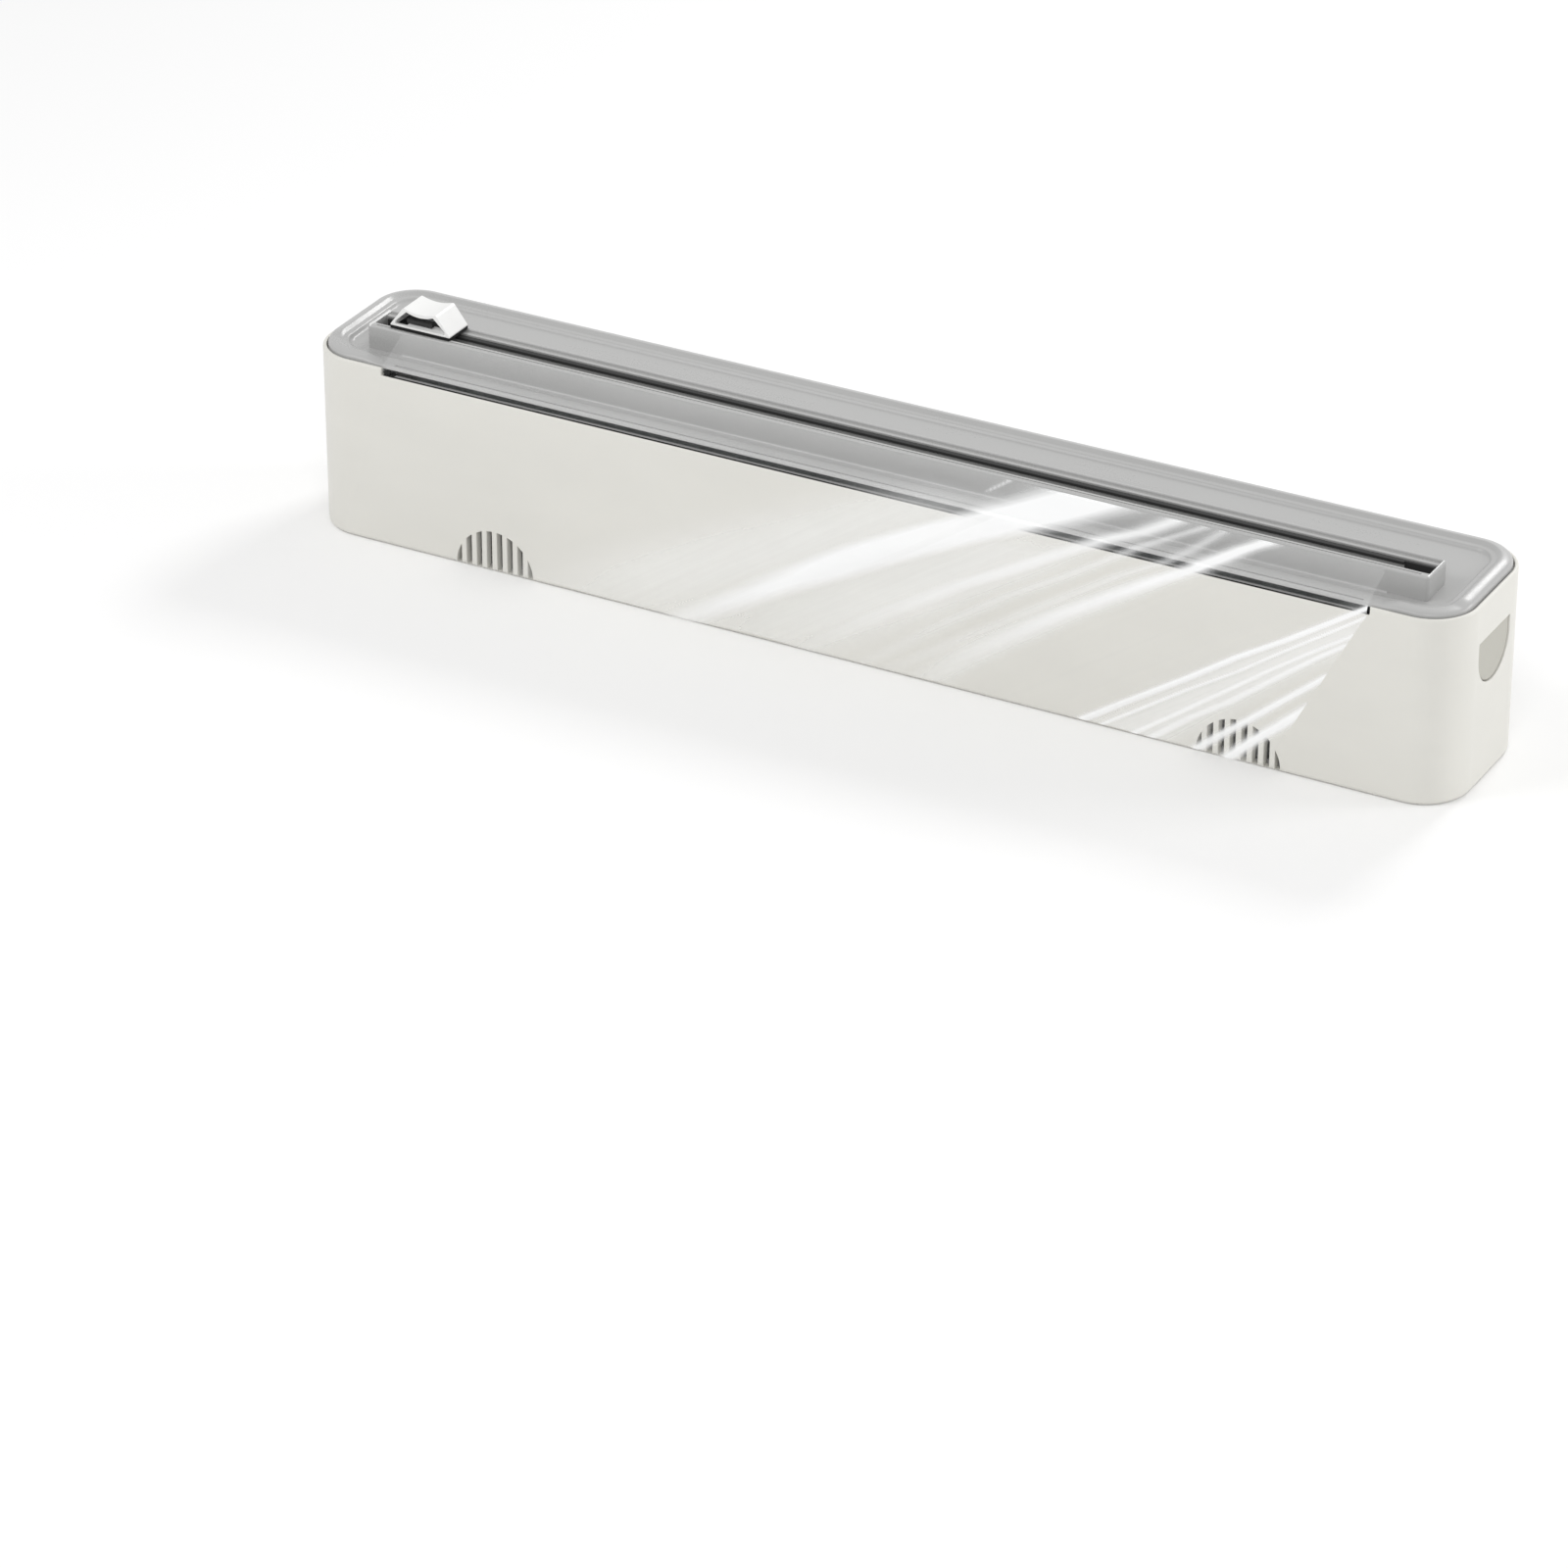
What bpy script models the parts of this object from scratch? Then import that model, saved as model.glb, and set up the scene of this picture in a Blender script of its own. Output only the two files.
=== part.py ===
"""Cling film dispenser: a lidded box for one film roll, with a slide cutter on the lid.

Metres. +X runs along the box, -Y is the front and +Z is up. The origin is under the middle of the base.
"""
import math

import bmesh
import bpy
from mathutils import Vector

# Box
BODY_LENGTH = 0.356
BODY_DEPTH = 0.051
BODY_HEIGHT = 0.0556
CORNER_RADIUS = 0.014
WALL = 0.0024
RIM_THICKNESS = 0.0011
RIM_STEP = 0.0020
FIT = 0.0003

# Film outlet and grilles in the front wall
OUTLET_INSET = 0.0255
NOTCH_DEPTH = 0.0022
GRILLE_INSET = 0.0617
GRILLE_RADIUS = 0.0126
GRILLE_SLOTS = 8
GRILLE_SLOT_WIDTH = 0.0017
GRILLE_SILL = 0.0006

# Suction cups in pockets behind the grilles
CUP_RADIUS = 0.0118
CUP_NECK_RADIUS = 0.0026
CUP_HEAD = 0.0017
CUP_SIDE_GAP = 0.0012
POCKET_HEADROOM = 0.0006
POCKET_WALL = 0.0019

# Lid tray
LID_THICKNESS = 0.0020
PANEL_RISE = 0.0004
LID_RIDGE_RISE = 0.0024
CORNER_RIDGE = 0.60
RIDGE_FADE = 0.0065
LID_SKIRT = 0.0030
LIP_THICKNESS = 0.0008

# Rail block and track on the lid
RAIL_INSET = 0.014
RAIL_DEPTH = 0.0125
RAIL_HEIGHT = 0.0061
RAIL_SETBACK = 0.0116
RAIL_FRONT_WALL = 0.0025
RAIL_BACK_WALL = 0.0014
RAIL_LEDGE = 0.0017
RAMP_RADIUS = 0.0040
TRACK_DEPTH = 0.0049
TRACK_POCKET = 0.0085
TRACK_OPENING = 0.0030

# Cutter slider
SLIDER_LENGTH = 0.0195
SLIDER_TOP_LENGTH = 0.0104
SLIDER_DEPTH = 0.0100
SLIDER_HEIGHT = 0.0066
SLIDER_SHELL = 0.0011
SADDLE_DIP = 0.0009
SLIDER_PARK = 0.0053
BLADE_THICKNESS = 0.0004

# Film roll: its room in the box, the film left on it and its core
ROLL_END_GAP = 0.0025
ROLL_GAP_ABOVE = 0.0036
ROLL_GAP_BELOW = 0.0008
FILM_WOUND = 0.0030
CORE_WALL = 0.0015
CORE_STICKOUT = 0.0010

# Film sheets
FILM_THICKNESS = 0.0003
FILM_HEM = 0.0020
FILM_STRETCH = 0.0133

# Plugs in the core and the brackets that carry them
PLUG_SPIGOT = 0.0140
PLUG_FLANGE = 0.0018
PLUG_FLANGE_STEP = 0.0012
PLUG_BOSS = 0.0022
JOURNAL_RADIUS = 0.0040
JOURNAL_LENGTH = 0.0090
BRACKET_GAP = 0.0100
BRACKET_PLATE = 0.0026
BRACKET_WEB = 0.0016
BRACKET_RISE = 0.0075
BRACKET_MARGIN = 0.0037

# End buttons and lid tongues
BUTTON_WIDTH = 0.0205
BUTTON_HEIGHT = 0.01465
BUTTON_TOP_DROP = 0.0116
BUTTON_FLANGE = 0.0010
BUTTON_TRAVEL = 0.0020
NUB_RADIUS = 0.0024
NUB_LENGTH = 0.0014
STOP_THICKNESS = 0.0012
TONGUE_WIDTH = 0.018
TONGUE_THICKNESS = 0.0014

CORNER_STEPS = 8
ROUND_STEPS = 40

# Levels and planes that follow from the sizes above
HALF_LENGTH = BODY_LENGTH / 2
HALF_DEPTH = BODY_DEPTH / 2
LEDGE_Z = BODY_HEIGHT - RIM_STEP
LID_SEAT_Z = LEDGE_Z + FIT
PANEL_Z = BODY_HEIGHT + PANEL_RISE
LID_UNDER_Z = PANEL_Z - LID_THICKNESS
RIDGE_Z = BODY_HEIGHT + LID_RIDGE_RISE
LID_INSET = RIM_THICKNESS + FIT
OUTLET_HALF = HALF_LENGTH - OUTLET_INSET
NOTCH_Z = BODY_HEIGHT - NOTCH_DEPTH
LIP_Z = PANEL_Z - LIP_THICKNESS
RAIL_HALF = HALF_LENGTH - RAIL_INSET
RAIL_FRONT_Y = -HALF_DEPTH + RAIL_SETBACK
RAIL_TOP_Z = PANEL_Z + RAIL_HEIGHT
INNER_X = HALF_LENGTH - WALL
INNER_Y = HALF_DEPTH - WALL
GRILLE_X = HALF_LENGTH - GRILLE_INSET
POCKET_Z = GRILLE_RADIUS + POCKET_HEADROOM
CUP_TOP_Z = POCKET_Z + POCKET_WALL + CUP_HEAD
CUP_Y = -INNER_Y + CUP_RADIUS + CUP_SIDE_GAP
ROLL_RADIUS = (LID_UNDER_Z - ROLL_GAP_ABOVE - CUP_TOP_Z - ROLL_GAP_BELOW) / 2
ROLL_Z = CUP_TOP_Z + ROLL_GAP_BELOW + ROLL_RADIUS
ROLL_HALF = OUTLET_HALF - ROLL_END_GAP
CORE_RADIUS = ROLL_RADIUS - FILM_WOUND

FINISHES = {
    "white_plastic": ((0.74, 0.72, 0.66, 1.0), 0.38, 0.0),
    "grey_plastic": ((0.50, 0.50, 0.49, 1.0), 0.30, 0.0),
    "pad_plastic": ((0.50, 0.49, 0.44, 1.0), 0.45, 0.0),
    "track_plastic": ((0.10, 0.10, 0.10, 1.0), 0.45, 0.0),
    "slider_plastic": ((0.90, 0.90, 0.89, 1.0), 0.35, 0.0),
    "blade_steel": ((0.62, 0.63, 0.64, 1.0), 0.22, 1.0),
    "cup_vinyl": ((0.62, 0.64, 0.62, 1.0), 0.25, 0.0),
    "core_card": ((0.42, 0.30, 0.18, 1.0), 0.85, 0.0),
    "film_wound": ((0.72, 0.77, 0.78, 1.0), 0.12, 0.0),
    "film_clear": ((0.90, 0.93, 0.94, 1.0), 0.08, 0.0),
}


def start_scene():
    """Empty the scene and return the part's collection and the cutters' collection."""
    for item in list(bpy.data.objects):
        bpy.data.objects.remove(item, do_unlink=True)
    made = []
    for name in ("cling_film_dispenser", "cutters"):
        group = bpy.data.collections.new(name)
        bpy.context.scene.collection.children.link(group)
        made.append(group)
    return made


PART, CUTTERS = start_scene()


def finish_material(node, finish):
    """Return a new Principled material for one node."""
    colour, roughness, metallic = FINISHES[finish]
    material = bpy.data.materials.new(f"{node}_{finish}")
    material.use_nodes = True
    shader = material.node_tree.nodes["Principled BSDF"]
    shader.inputs["Base Color"].default_value = colour
    shader.inputs["Roughness"].default_value = roughness
    shader.inputs["Metallic"].default_value = metallic
    material.diffuse_color = colour
    return material


def solid(name, points, faces, finish=None, origin=(0.0, 0.0, 0.0)):
    """Make one closed object; with no finish it is a helper for cutting or joining."""
    shift = Vector(origin)
    mesh = bpy.data.meshes.new(name)
    mesh.from_pydata([Vector(point) - shift for point in points], [], faces)
    work = bmesh.new()
    work.from_mesh(mesh)
    bmesh.ops.recalc_face_normals(work, faces=work.faces)
    work.to_mesh(mesh)
    work.free()
    item = bpy.data.objects.new(name, mesh)
    item.location = shift
    if finish is None:
        CUTTERS.objects.link(item)
        item.hide_render = True
        item.display_type = "WIRE"
    else:
        PART.objects.link(item)
        mesh.materials.append(finish_material(name, finish))
    return item


def boolean(target, helper, operation):
    """Add an exact boolean with a helper to a piece and return the piece."""
    step = target.modifiers.new(helper.name, "BOOLEAN")
    step.operation = operation
    step.solver = "EXACT"
    step.object = helper
    return target


def carve(target, *helpers):
    """Cut helpers out of a piece."""
    for helper in helpers:
        boolean(target, helper, "DIFFERENCE")
    return target


def fuse(target, *helpers):
    """Join helpers to a piece."""
    for helper in helpers:
        boolean(target, helper, "UNION")
    return target


def loft(name, rings, finish=None, origin=(0.0, 0.0, 0.0), loop=False):
    """Skin a run of rings of equal count; the ends are capped unless the run loops."""
    count = len(rings[0])
    points = [point for ring in rings for point in ring]
    pairs = list(zip(range(len(rings) - 1), range(1, len(rings))))
    faces = []
    if loop:
        pairs.append((len(rings) - 1, 0))
    else:
        faces.append(tuple(reversed(range(count))))
        faces.append(tuple(range((len(rings) - 1) * count, len(rings) * count)))
    for low, high in pairs:
        for side in range(count):
            after = (side + 1) % count
            faces.append((low * count + side, low * count + after, high * count + after, high * count + side))
    return solid(name, points, faces, finish, origin)


def prism(name, outline, axis, start, end, finish=None, origin=(0.0, 0.0, 0.0)):
    """Push a flat outline along X (outline y, z), Y (outline x, z) or Z (outline x, y)."""
    place = {
        "X": lambda a, b, along: (along, a, b),
        "Y": lambda a, b, along: (a, along, b),
        "Z": lambda a, b, along: (a, b, along),
    }[axis]
    rings = [[place(a, b, along) for a, b in outline] for along in (start, end)]
    return loft(name, rings, finish, origin)


def block(name, low, high, finish=None, origin=(0.0, 0.0, 0.0)):
    """Make a box between two corners."""
    outline = [(low[0], low[1]), (high[0], low[1]), (high[0], high[1]), (low[0], high[1])]
    return prism(name, outline, "Z", low[2], high[2], finish, origin)


def lathe(name, profile, axis, centre, finish=None, origin=(0.0, 0.0, 0.0), loop=False):
    """Turn (radius, along) pairs about a line through centre that runs along X, Y or Z."""
    rings = []
    for radius, along in profile:
        ring = []
        for step in range(ROUND_STEPS):
            angle = 2 * math.pi * step / ROUND_STEPS
            a, b = radius * math.cos(angle), radius * math.sin(angle)
            offset = {"X": (along, a, b), "Y": (b, along, a), "Z": (a, b, along)}[axis]
            ring.append(tuple(c + o for c, o in zip(centre, offset)))
        rings.append(ring)
    return loft(name, rings, finish, origin, loop)


def rounded_outline(half_x, half_y, radius, centre=(0.0, 0.0), steps=CORNER_STEPS):
    """Points of a rounded rectangle, counter-clockwise."""
    radius = max(min(radius, 0.95 * half_x, 0.95 * half_y), 0.0002)
    points = []
    for quarter, (side_x, side_y) in enumerate(((1, 1), (-1, 1), (-1, -1), (1, -1))):
        for step in range(steps + 1):
            angle = (quarter + step / steps) * math.pi / 2
            points.append((centre[0] + side_x * (half_x - radius) + radius * math.cos(angle),
                           centre[1] + side_y * (half_y - radius) + radius * math.sin(angle)))
    return points


def box_outline(inset):
    """The box's plan outline, moved inwards by inset, with extra points beside the film outlet."""
    points = rounded_outline(HALF_LENGTH - inset, HALF_DEPTH - inset, CORNER_RADIUS - inset)
    middle = 3 * (CORNER_STEPS + 1)
    reach = min(RIDGE_FADE, OUTLET_INSET - CORNER_RADIUS - 0.001)
    right = [(OUTLET_HALF + 0.001 + reach * share, -HALF_DEPTH + inset) for share in (0.0, 0.35, 0.65, 1.0)]
    return points[:middle] + [(-x, y) for x, y in reversed(right)] + right + points[middle:]


def box_ring(inset, height):
    """One level ring of the box's plan outline."""
    return [(x, y, height) for x, y in box_outline(inset)]


def arc(centre, radius, start, end, steps):
    """Points of an arc between two angles in degrees."""
    points = []
    for step in range(steps + 1):
        angle = math.radians(start + (end - start) * step / steps)
        points.append((centre[0] + radius * math.cos(angle), centre[1] + radius * math.sin(angle)))
    return points


def d_outline(grow=0.0):
    """The button's outline in (y, z): flat on top, straight sides and a half-round foot."""
    half = BUTTON_WIDTH / 2
    top = BODY_HEIGHT - BUTTON_TOP_DROP
    middle = top - max(BUTTON_HEIGHT - half, 0.001)
    foot = arc((0.0, middle), half + grow, 180, 360, 20)
    return [(half + grow, top + grow), (-half - grow, top + grow)] + foot


def pocket_outline(x, grow):
    """A cup pocket's plan: straight from the front wall, then half round."""
    radius = CUP_RADIUS + CUP_SIDE_GAP + grow
    back = [(x + a, b) for a, b in arc((0.0, CUP_Y), radius, 0, 180, 18)]
    return back + [(x - radius, -INNER_Y - 0.0004), (x + radius, -INNER_Y - 0.0004)]


def body_rings():
    """The box from its foot, up the outside, over the rim and down the inside."""
    lip = min(0.0004, RIM_THICKNESS / 3)
    return [
        box_ring(0.0014, 0.0), box_ring(0.0005, 0.0004), box_ring(0.0, 0.0016),
        box_ring(0.0, BODY_HEIGHT - lip), box_ring(0.3 * lip, BODY_HEIGHT - 0.3 * lip),
        box_ring(lip, BODY_HEIGHT), box_ring(RIM_THICKNESS, BODY_HEIGHT),
        box_ring(RIM_THICKNESS, LEDGE_Z), box_ring(WALL, LEDGE_Z),
        box_ring(WALL, WALL + 0.0022), box_ring(WALL + 0.0006, WALL + 0.0007),
        box_ring(WALL + 0.0022, WALL),
    ]


def grille_cutter(side):
    """Upright slots that fill a half round at the foot of the front wall."""
    gap = (2 * GRILLE_RADIUS - GRILLE_SLOT_WIDTH) / (GRILLE_SLOTS - 1)
    width = min(GRILLE_SLOT_WIDTH, 0.7 * gap)
    points, faces = [], []
    for number in range(GRILLE_SLOTS):
        offset = (number - (GRILLE_SLOTS - 1) / 2) * gap
        reach = max(abs(offset) - 0.25 * width, 0.0)
        top = max(math.sqrt(max(GRILLE_RADIUS ** 2 - reach ** 2, 0.0)), GRILLE_SILL + width)
        base = len(points)
        x = side * GRILLE_X + offset
        for z in (GRILLE_SILL, top):
            for corner_x, y in ((-1, -HALF_DEPTH - 0.002), (1, -HALF_DEPTH - 0.002),
                                (1, -INNER_Y + 0.0003), (-1, -INNER_Y + 0.0003)):
                points.append((x + corner_x * width / 2, y, z))
        faces += [tuple(base + corner for corner in face) for face in
                  ((3, 2, 1, 0), (4, 5, 6, 7), (0, 1, 5, 4), (1, 2, 6, 5), (2, 3, 7, 6), (3, 0, 4, 7))]
    return solid(f"grille_cut_{side}", points, faces)


def build_body():
    """The white box with its film outlet, grilles, cup pockets and button windows."""
    body = loft("body_shell", body_rings(), "white_plastic")
    for side in (-1, 1):
        fuse(body, prism(f"pocket_{side}", pocket_outline(side * GRILLE_X, POCKET_WALL), "Z",
                         0.4 * WALL, POCKET_Z + POCKET_WALL))
    carve(body, block("notch_cut", (-OUTLET_HALF, -HALF_DEPTH - 0.002, NOTCH_Z),
                      (OUTLET_HALF, -INNER_Y + 0.0005, BODY_HEIGHT + 0.002)))
    for side in (-1, 1):
        x = side * GRILLE_X
        pocket = [(a, max(b, -INNER_Y)) for a, b in pocket_outline(x, 0.0)]
        hole = [(CUP_NECK_RADIUS + FIT, POCKET_Z - 0.002), (CUP_NECK_RADIUS + FIT, POCKET_Z + POCKET_WALL + 0.002)]
        window = (side * (INNER_X - 0.002), side * (HALF_LENGTH + 0.002))
        carve(body, prism(f"pocket_cut_{side}", pocket, "Z", -0.002, POCKET_Z),
              lathe(f"neck_cut_{side}", hole, "Z", (x, CUP_Y, 0.0)),
              grille_cutter(side),
              prism(f"window_cut_{side}", d_outline(), "X", min(window), max(window)))
    return body


def build_cradle(side, label):
    """An end bracket: a plate with an open journal slot, two webs and the button's stops."""
    plate = side * (ROLL_HALF + BRACKET_GAP)
    axis = (0.0, ROLL_Z)
    half = BUTTON_WIDTH / 2 + BRACKET_MARGIN
    top = ROLL_Z + BRACKET_RISE
    floor = WALL + FIT
    wall = side * (INNER_X - FIT)
    inner = side * (abs(plate) + BRACKET_PLATE)
    cradle = block(f"roll_cradle_{label}", (min(plate, inner), -half, floor), (max(plate, inner), half, top),
                   "white_plastic")
    for edge in (-1, 1):
        ends = (edge * half, edge * (half - BRACKET_WEB))
        fuse(cradle, block(f"web_{label}_{edge}", (min(plate, wall) + 0.0001 * (side < 0), min(ends), floor + WALL),
                           (max(plate, wall) - 0.0001 * (side > 0), max(ends), top - 0.0001)))
        stop_x = sorted((side * stop_plane(), side * (stop_plane() - STOP_THICKNESS)))
        ends = (edge * (half - 0.6 * BRACKET_WEB), edge * (half - 1.75 * BRACKET_WEB))
        fuse(cradle, block(f"stop_{label}_{edge}", (stop_x[0], min(ends), top - 0.9 * BUTTON_HEIGHT),
                           (stop_x[1], max(ends), top - 0.0004)))
    slot = arc(axis, JOURNAL_RADIUS + FIT, 180, 360, 16)
    slot += [(JOURNAL_RADIUS + FIT, top + 0.002), (-JOURNAL_RADIUS - FIT, top + 0.002)]
    carve(cradle, prism(f"journal_cut_{label}", slot, "X", min(plate, inner) - 0.002, max(plate, inner) + 0.002))
    return cradle


def stop_plane():
    """Distance from the middle to the face that stops a pressed button."""
    return INNER_X - FIT - BUTTON_FLANGE - BUTTON_TRAVEL - FIT


def build_button(side, label):
    """A D-shaped pad that fills the end window, with a flange and a nub that meets the tongue."""
    face = side * (HALF_LENGTH - 0.0004)
    seat = side * (INNER_X - FIT)
    back = side * (INNER_X - FIT - BUTTON_FLANGE)
    nub = side * (INNER_X - FIT - BUTTON_FLANGE - NUB_LENGTH)
    z = BODY_HEIGHT - BUTTON_TOP_DROP - BUTTON_HEIGHT + 1.75 * NUB_RADIUS
    button = prism(f"release_button_{label}", d_outline(-FIT), "X", min(face, back), max(face, back),
                   "pad_plastic", (face, 0.0, z))
    flange = prism(f"flange_{label}", d_outline(0.0013), "X", min(seat, back) + 0.00002, max(seat, back) - 0.00002)
    nose = [(NUB_RADIUS, back + side * FIT), (NUB_RADIUS, nub + side * FIT), (0.75 * NUB_RADIUS, nub)]
    return fuse(button, flange, lathe(f"nub_{label}", nose, "X", (0.0, 0.0, z)))


def tongue_pivot():
    """Distance from the middle and height of the tongues' bending line."""
    nub = INNER_X - FIT - BUTTON_FLANGE - NUB_LENGTH
    return nub - FIT - TONGUE_THICKNESS / 2, LID_UNDER_Z - 0.0009


def build_latch(side, label):
    """A spring tongue under the lid's end, behind the button."""
    x, z = tongue_pivot()
    foot = BODY_HEIGHT - BUTTON_TOP_DROP - BUTTON_HEIGHT + 0.0015
    half = min(TONGUE_WIDTH / 2, BUTTON_WIDTH / 2 - 0.0002)
    thick = TONGUE_THICKNESS / 2
    outline = [(side * (x + thick), z + 0.0005), (side * (x - 2.2 * thick), z + 0.0005),
               (side * (x - 2.2 * thick), z - 0.0008), (side * (x - thick), z - 0.0030),
               (side * (x - thick), foot), (side * (x + 0.4 * thick), foot - 0.0008),
               (side * (x + thick), foot)]
    return prism(f"lid_latch_{label}", outline, "Y", -half, half, "grey_plastic", (side * x, 0.0, z))


def ease(share):
    """Ease a share between 0 and 1."""
    share = min(max(share, 0.0), 1.0)
    return share * share * (3 - 2 * share)


def ridge_share(x, y):
    """How much of the lid's raised rim stands at a spot: none at the outlet, some at the front corners, else all."""
    corner = CORNER_RIDGE * ease((abs(x) - OUTLET_HALF - 0.001) / RIDGE_FADE)
    return max(corner if y < 0 else 0.0, ease((y + HALF_DEPTH - 0.0045) / 0.0090))


def lid_rings():
    """The lid from inside its skirt, out under the edge, over the rim and in to the panel."""
    skirt_out, skirt_in = WALL + FIT, WALL + FIT + 0.0015
    rings = [box_ring(skirt_in, LID_UNDER_Z), box_ring(skirt_in, LID_SEAT_Z - LID_SKIRT),
             box_ring(skirt_out, LID_SEAT_Z - LID_SKIRT), box_ring(skirt_out, LID_SEAT_Z),
             box_ring(LID_INSET, LID_SEAT_Z), box_ring(LID_INSET, LID_SEAT_Z + 0.45 * (PANEL_Z - LID_SEAT_Z))]
    rise, drop = RIDGE_Z - PANEL_Z, PANEL_Z - LID_SEAT_Z
    profile = [(0.00012, 0.10, -0.24), (0.0005, 0.55, -0.10), (0.0011, 0.86, -0.03), (0.0018, 0.98, 0.0),
               (0.0023, 1.0, 0.0), (0.0029, 0.92, 0.0), (0.0037, 0.62, 0.0), (0.0047, 0.28, 0.0),
               (0.0061, 0.06, 0.0), (0.0076, 0.0, 0.0)]
    for inset, share, front in profile:
        ring = []
        for x, y in box_outline(LID_INSET + inset):
            weight = ridge_share(x, y)
            ring.append((x, y, PANEL_Z + weight * share * rise + (1 - weight) * front * drop))
        rings.append(ring)
    return rings


def rail_block():
    """The raised block that carries the track, with a small round on its top edge."""
    centre = (0.0, RAIL_FRONT_Y + RAIL_DEPTH / 2)
    rings = []
    for inset, z in ((0.0, PANEL_Z - 0.6 * LID_THICKNESS), (0.0, RAIL_TOP_Z - 0.0006),
                     (0.00018, RAIL_TOP_Z - 0.00018), (0.0006, RAIL_TOP_Z)):
        outline = rounded_outline(RAIL_HALF - inset, RAIL_DEPTH / 2 - inset, 0.0020 - inset, centre, 5)
        rings.append([(x, y, z) for x, y in outline])
    return loft("rail_block", rings)


def ramp_strip():
    """The concave ramp between the rail block's front and the lip."""
    radius = min(RAMP_RADIUS, RAIL_SETBACK - LID_INSET - 0.0025, RAIL_HEIGHT - 0.0008)
    z = PANEL_Z - 0.00004
    outline = arc((RAIL_FRONT_Y - radius, z + radius), radius, -90, 0, 8)
    outline += [(RAIL_FRONT_Y + 0.0008, z + radius), (RAIL_FRONT_Y + 0.0008, z - 0.0006),
                (RAIL_FRONT_Y - radius, z - 0.0006)]
    half = min(OUTLET_HALF, RAIL_HALF - radius)
    return prism("ramp_strip", outline, "X", -half, half)


def channel_span():
    """The track channel's front, ledge edge and back, in y."""
    front = RAIL_FRONT_Y + RAIL_FRONT_WALL
    back = RAIL_FRONT_Y + RAIL_DEPTH - RAIL_BACK_WALL
    return front, back - RAIL_LEDGE, back


def track_floor():
    """Height of the channel's floor, with lid left under it."""
    return max(RAIL_TOP_Z - 0.0008 - TRACK_DEPTH, LID_UNDER_Z + 0.0012)


def build_lid():
    """The grey lid: tray, rail block and ramp, with the track channel and the film gap cut out."""
    front, ledge, back = channel_span()
    half = RAIL_HALF - 0.0016
    lid = loft("lid_shell", lid_rings(), "grey_plastic")
    fuse(lid, rail_block(), ramp_strip())
    carve(lid, block("ledge_cut", (-half, front, RAIL_TOP_Z - 0.0008), (half, back, RAIL_TOP_Z + 0.002)),
          block("track_cut", (-half, front, track_floor()), (half, ledge, RAIL_TOP_Z + 0.001)),
          block("film_gap_cut", (-OUTLET_HALF, -HALF_DEPTH - 0.004, LID_SEAT_Z - LID_SKIRT - 0.002),
                (OUTLET_HALF, -HALF_DEPTH + WALL + FIT + 0.0022, LIP_Z)))
    return lid


def track_middle():
    """The track's centre line in y."""
    front, ledge, _ = channel_span()
    return (front + ledge) / 2


def build_track():
    """A C-shaped track pressed into the channel: open along its top, without lips at its ends."""
    front, ledge, _ = channel_span()
    half = (ledge - front) / 2 - FIT
    low, high = track_floor() + FIT, RAIL_TOP_Z - 0.0012
    gap = min(TRACK_OPENING / 2, half - 0.0013)
    wall, lip = 0.0010, 0.0008
    y = track_middle()
    right = [(half, low), (half, high), (gap, high), (gap, high - lip), (half - wall, high - lip),
             (half - wall, low + wall)]
    left = [(-a, b) for a, b in reversed(right)]
    outline = [(y + a, b) for a, b in right + left]
    end = RAIL_HALF - 0.0016 - FIT
    track = prism("rail_track", outline, "X", -end, end, "track_plastic")
    for side in (-1, 1):
        reach = sorted((side * (end - TRACK_POCKET), side * (end + 0.002)))
        carve(track, block(f"track_pocket_{side}", (reach[0], y - half + wall, low + wall),
                           (reach[1], y + half - wall, high + 0.002)))
    return track


def slider_x():
    """The parked slider's middle."""
    return -(RAIL_HALF - 0.0016 - SLIDER_PARK - SLIDER_LENGTH / 2)


def slider_profile(inset, floor):
    """The slider's side outline in (x, z): wide foot, slanted ends and a dipped top."""
    x, z = slider_x(), RAIL_TOP_Z + FIT
    foot, top = SLIDER_LENGTH / 2 - 1.45 * inset, SLIDER_TOP_LENGTH / 2 - 0.75 * inset
    height = SLIDER_HEIGHT - inset
    points = [(-foot, floor), (foot, floor), (foot, floor + 0.0009), (top + 0.0006, height - 0.0005)]
    for step in range(9):
        share = 1 - step / 4
        points.append((top * share, height - SADDLE_DIP * (1 - share * share)))
    points += [(-top - 0.0006, height - 0.0005), (-foot, floor + 0.0009)]
    return [(x + a, z + b) for a, b in points]


def build_slider():
    """The white saddle: a hollow bridge that is open in front and behind, with a slot in its base."""
    y, x, z = track_middle() + 0.0006, slider_x(), RAIL_TOP_Z + FIT
    half = SLIDER_DEPTH / 2
    grip = prism("slider_grip", slider_profile(0.0, 0.0), "Y", y - half, y + half, "slider_plastic", (x, y, z))
    bevel = grip.modifiers.new("edge_round", "BEVEL")
    bevel.width, bevel.segments, bevel.limit_method = 0.00035, 2, "ANGLE"
    bevel.angle_limit = math.radians(40)
    hollow = prism("slider_hollow", slider_profile(SLIDER_SHELL, SLIDER_SHELL), "Y", y - half - 0.002, y + half + 0.002)
    slot_y = TRACK_OPENING / 2 + 0.00005
    slot_x = SLIDER_LENGTH / 2 - 0.0019
    slot = block("slider_slot", (x - slot_x, track_middle() - slot_y, z - 0.002),
                 (x + slot_x, track_middle() + slot_y, z + SLIDER_SHELL + 0.0004))
    return carve(grip, hollow, slot)


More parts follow.
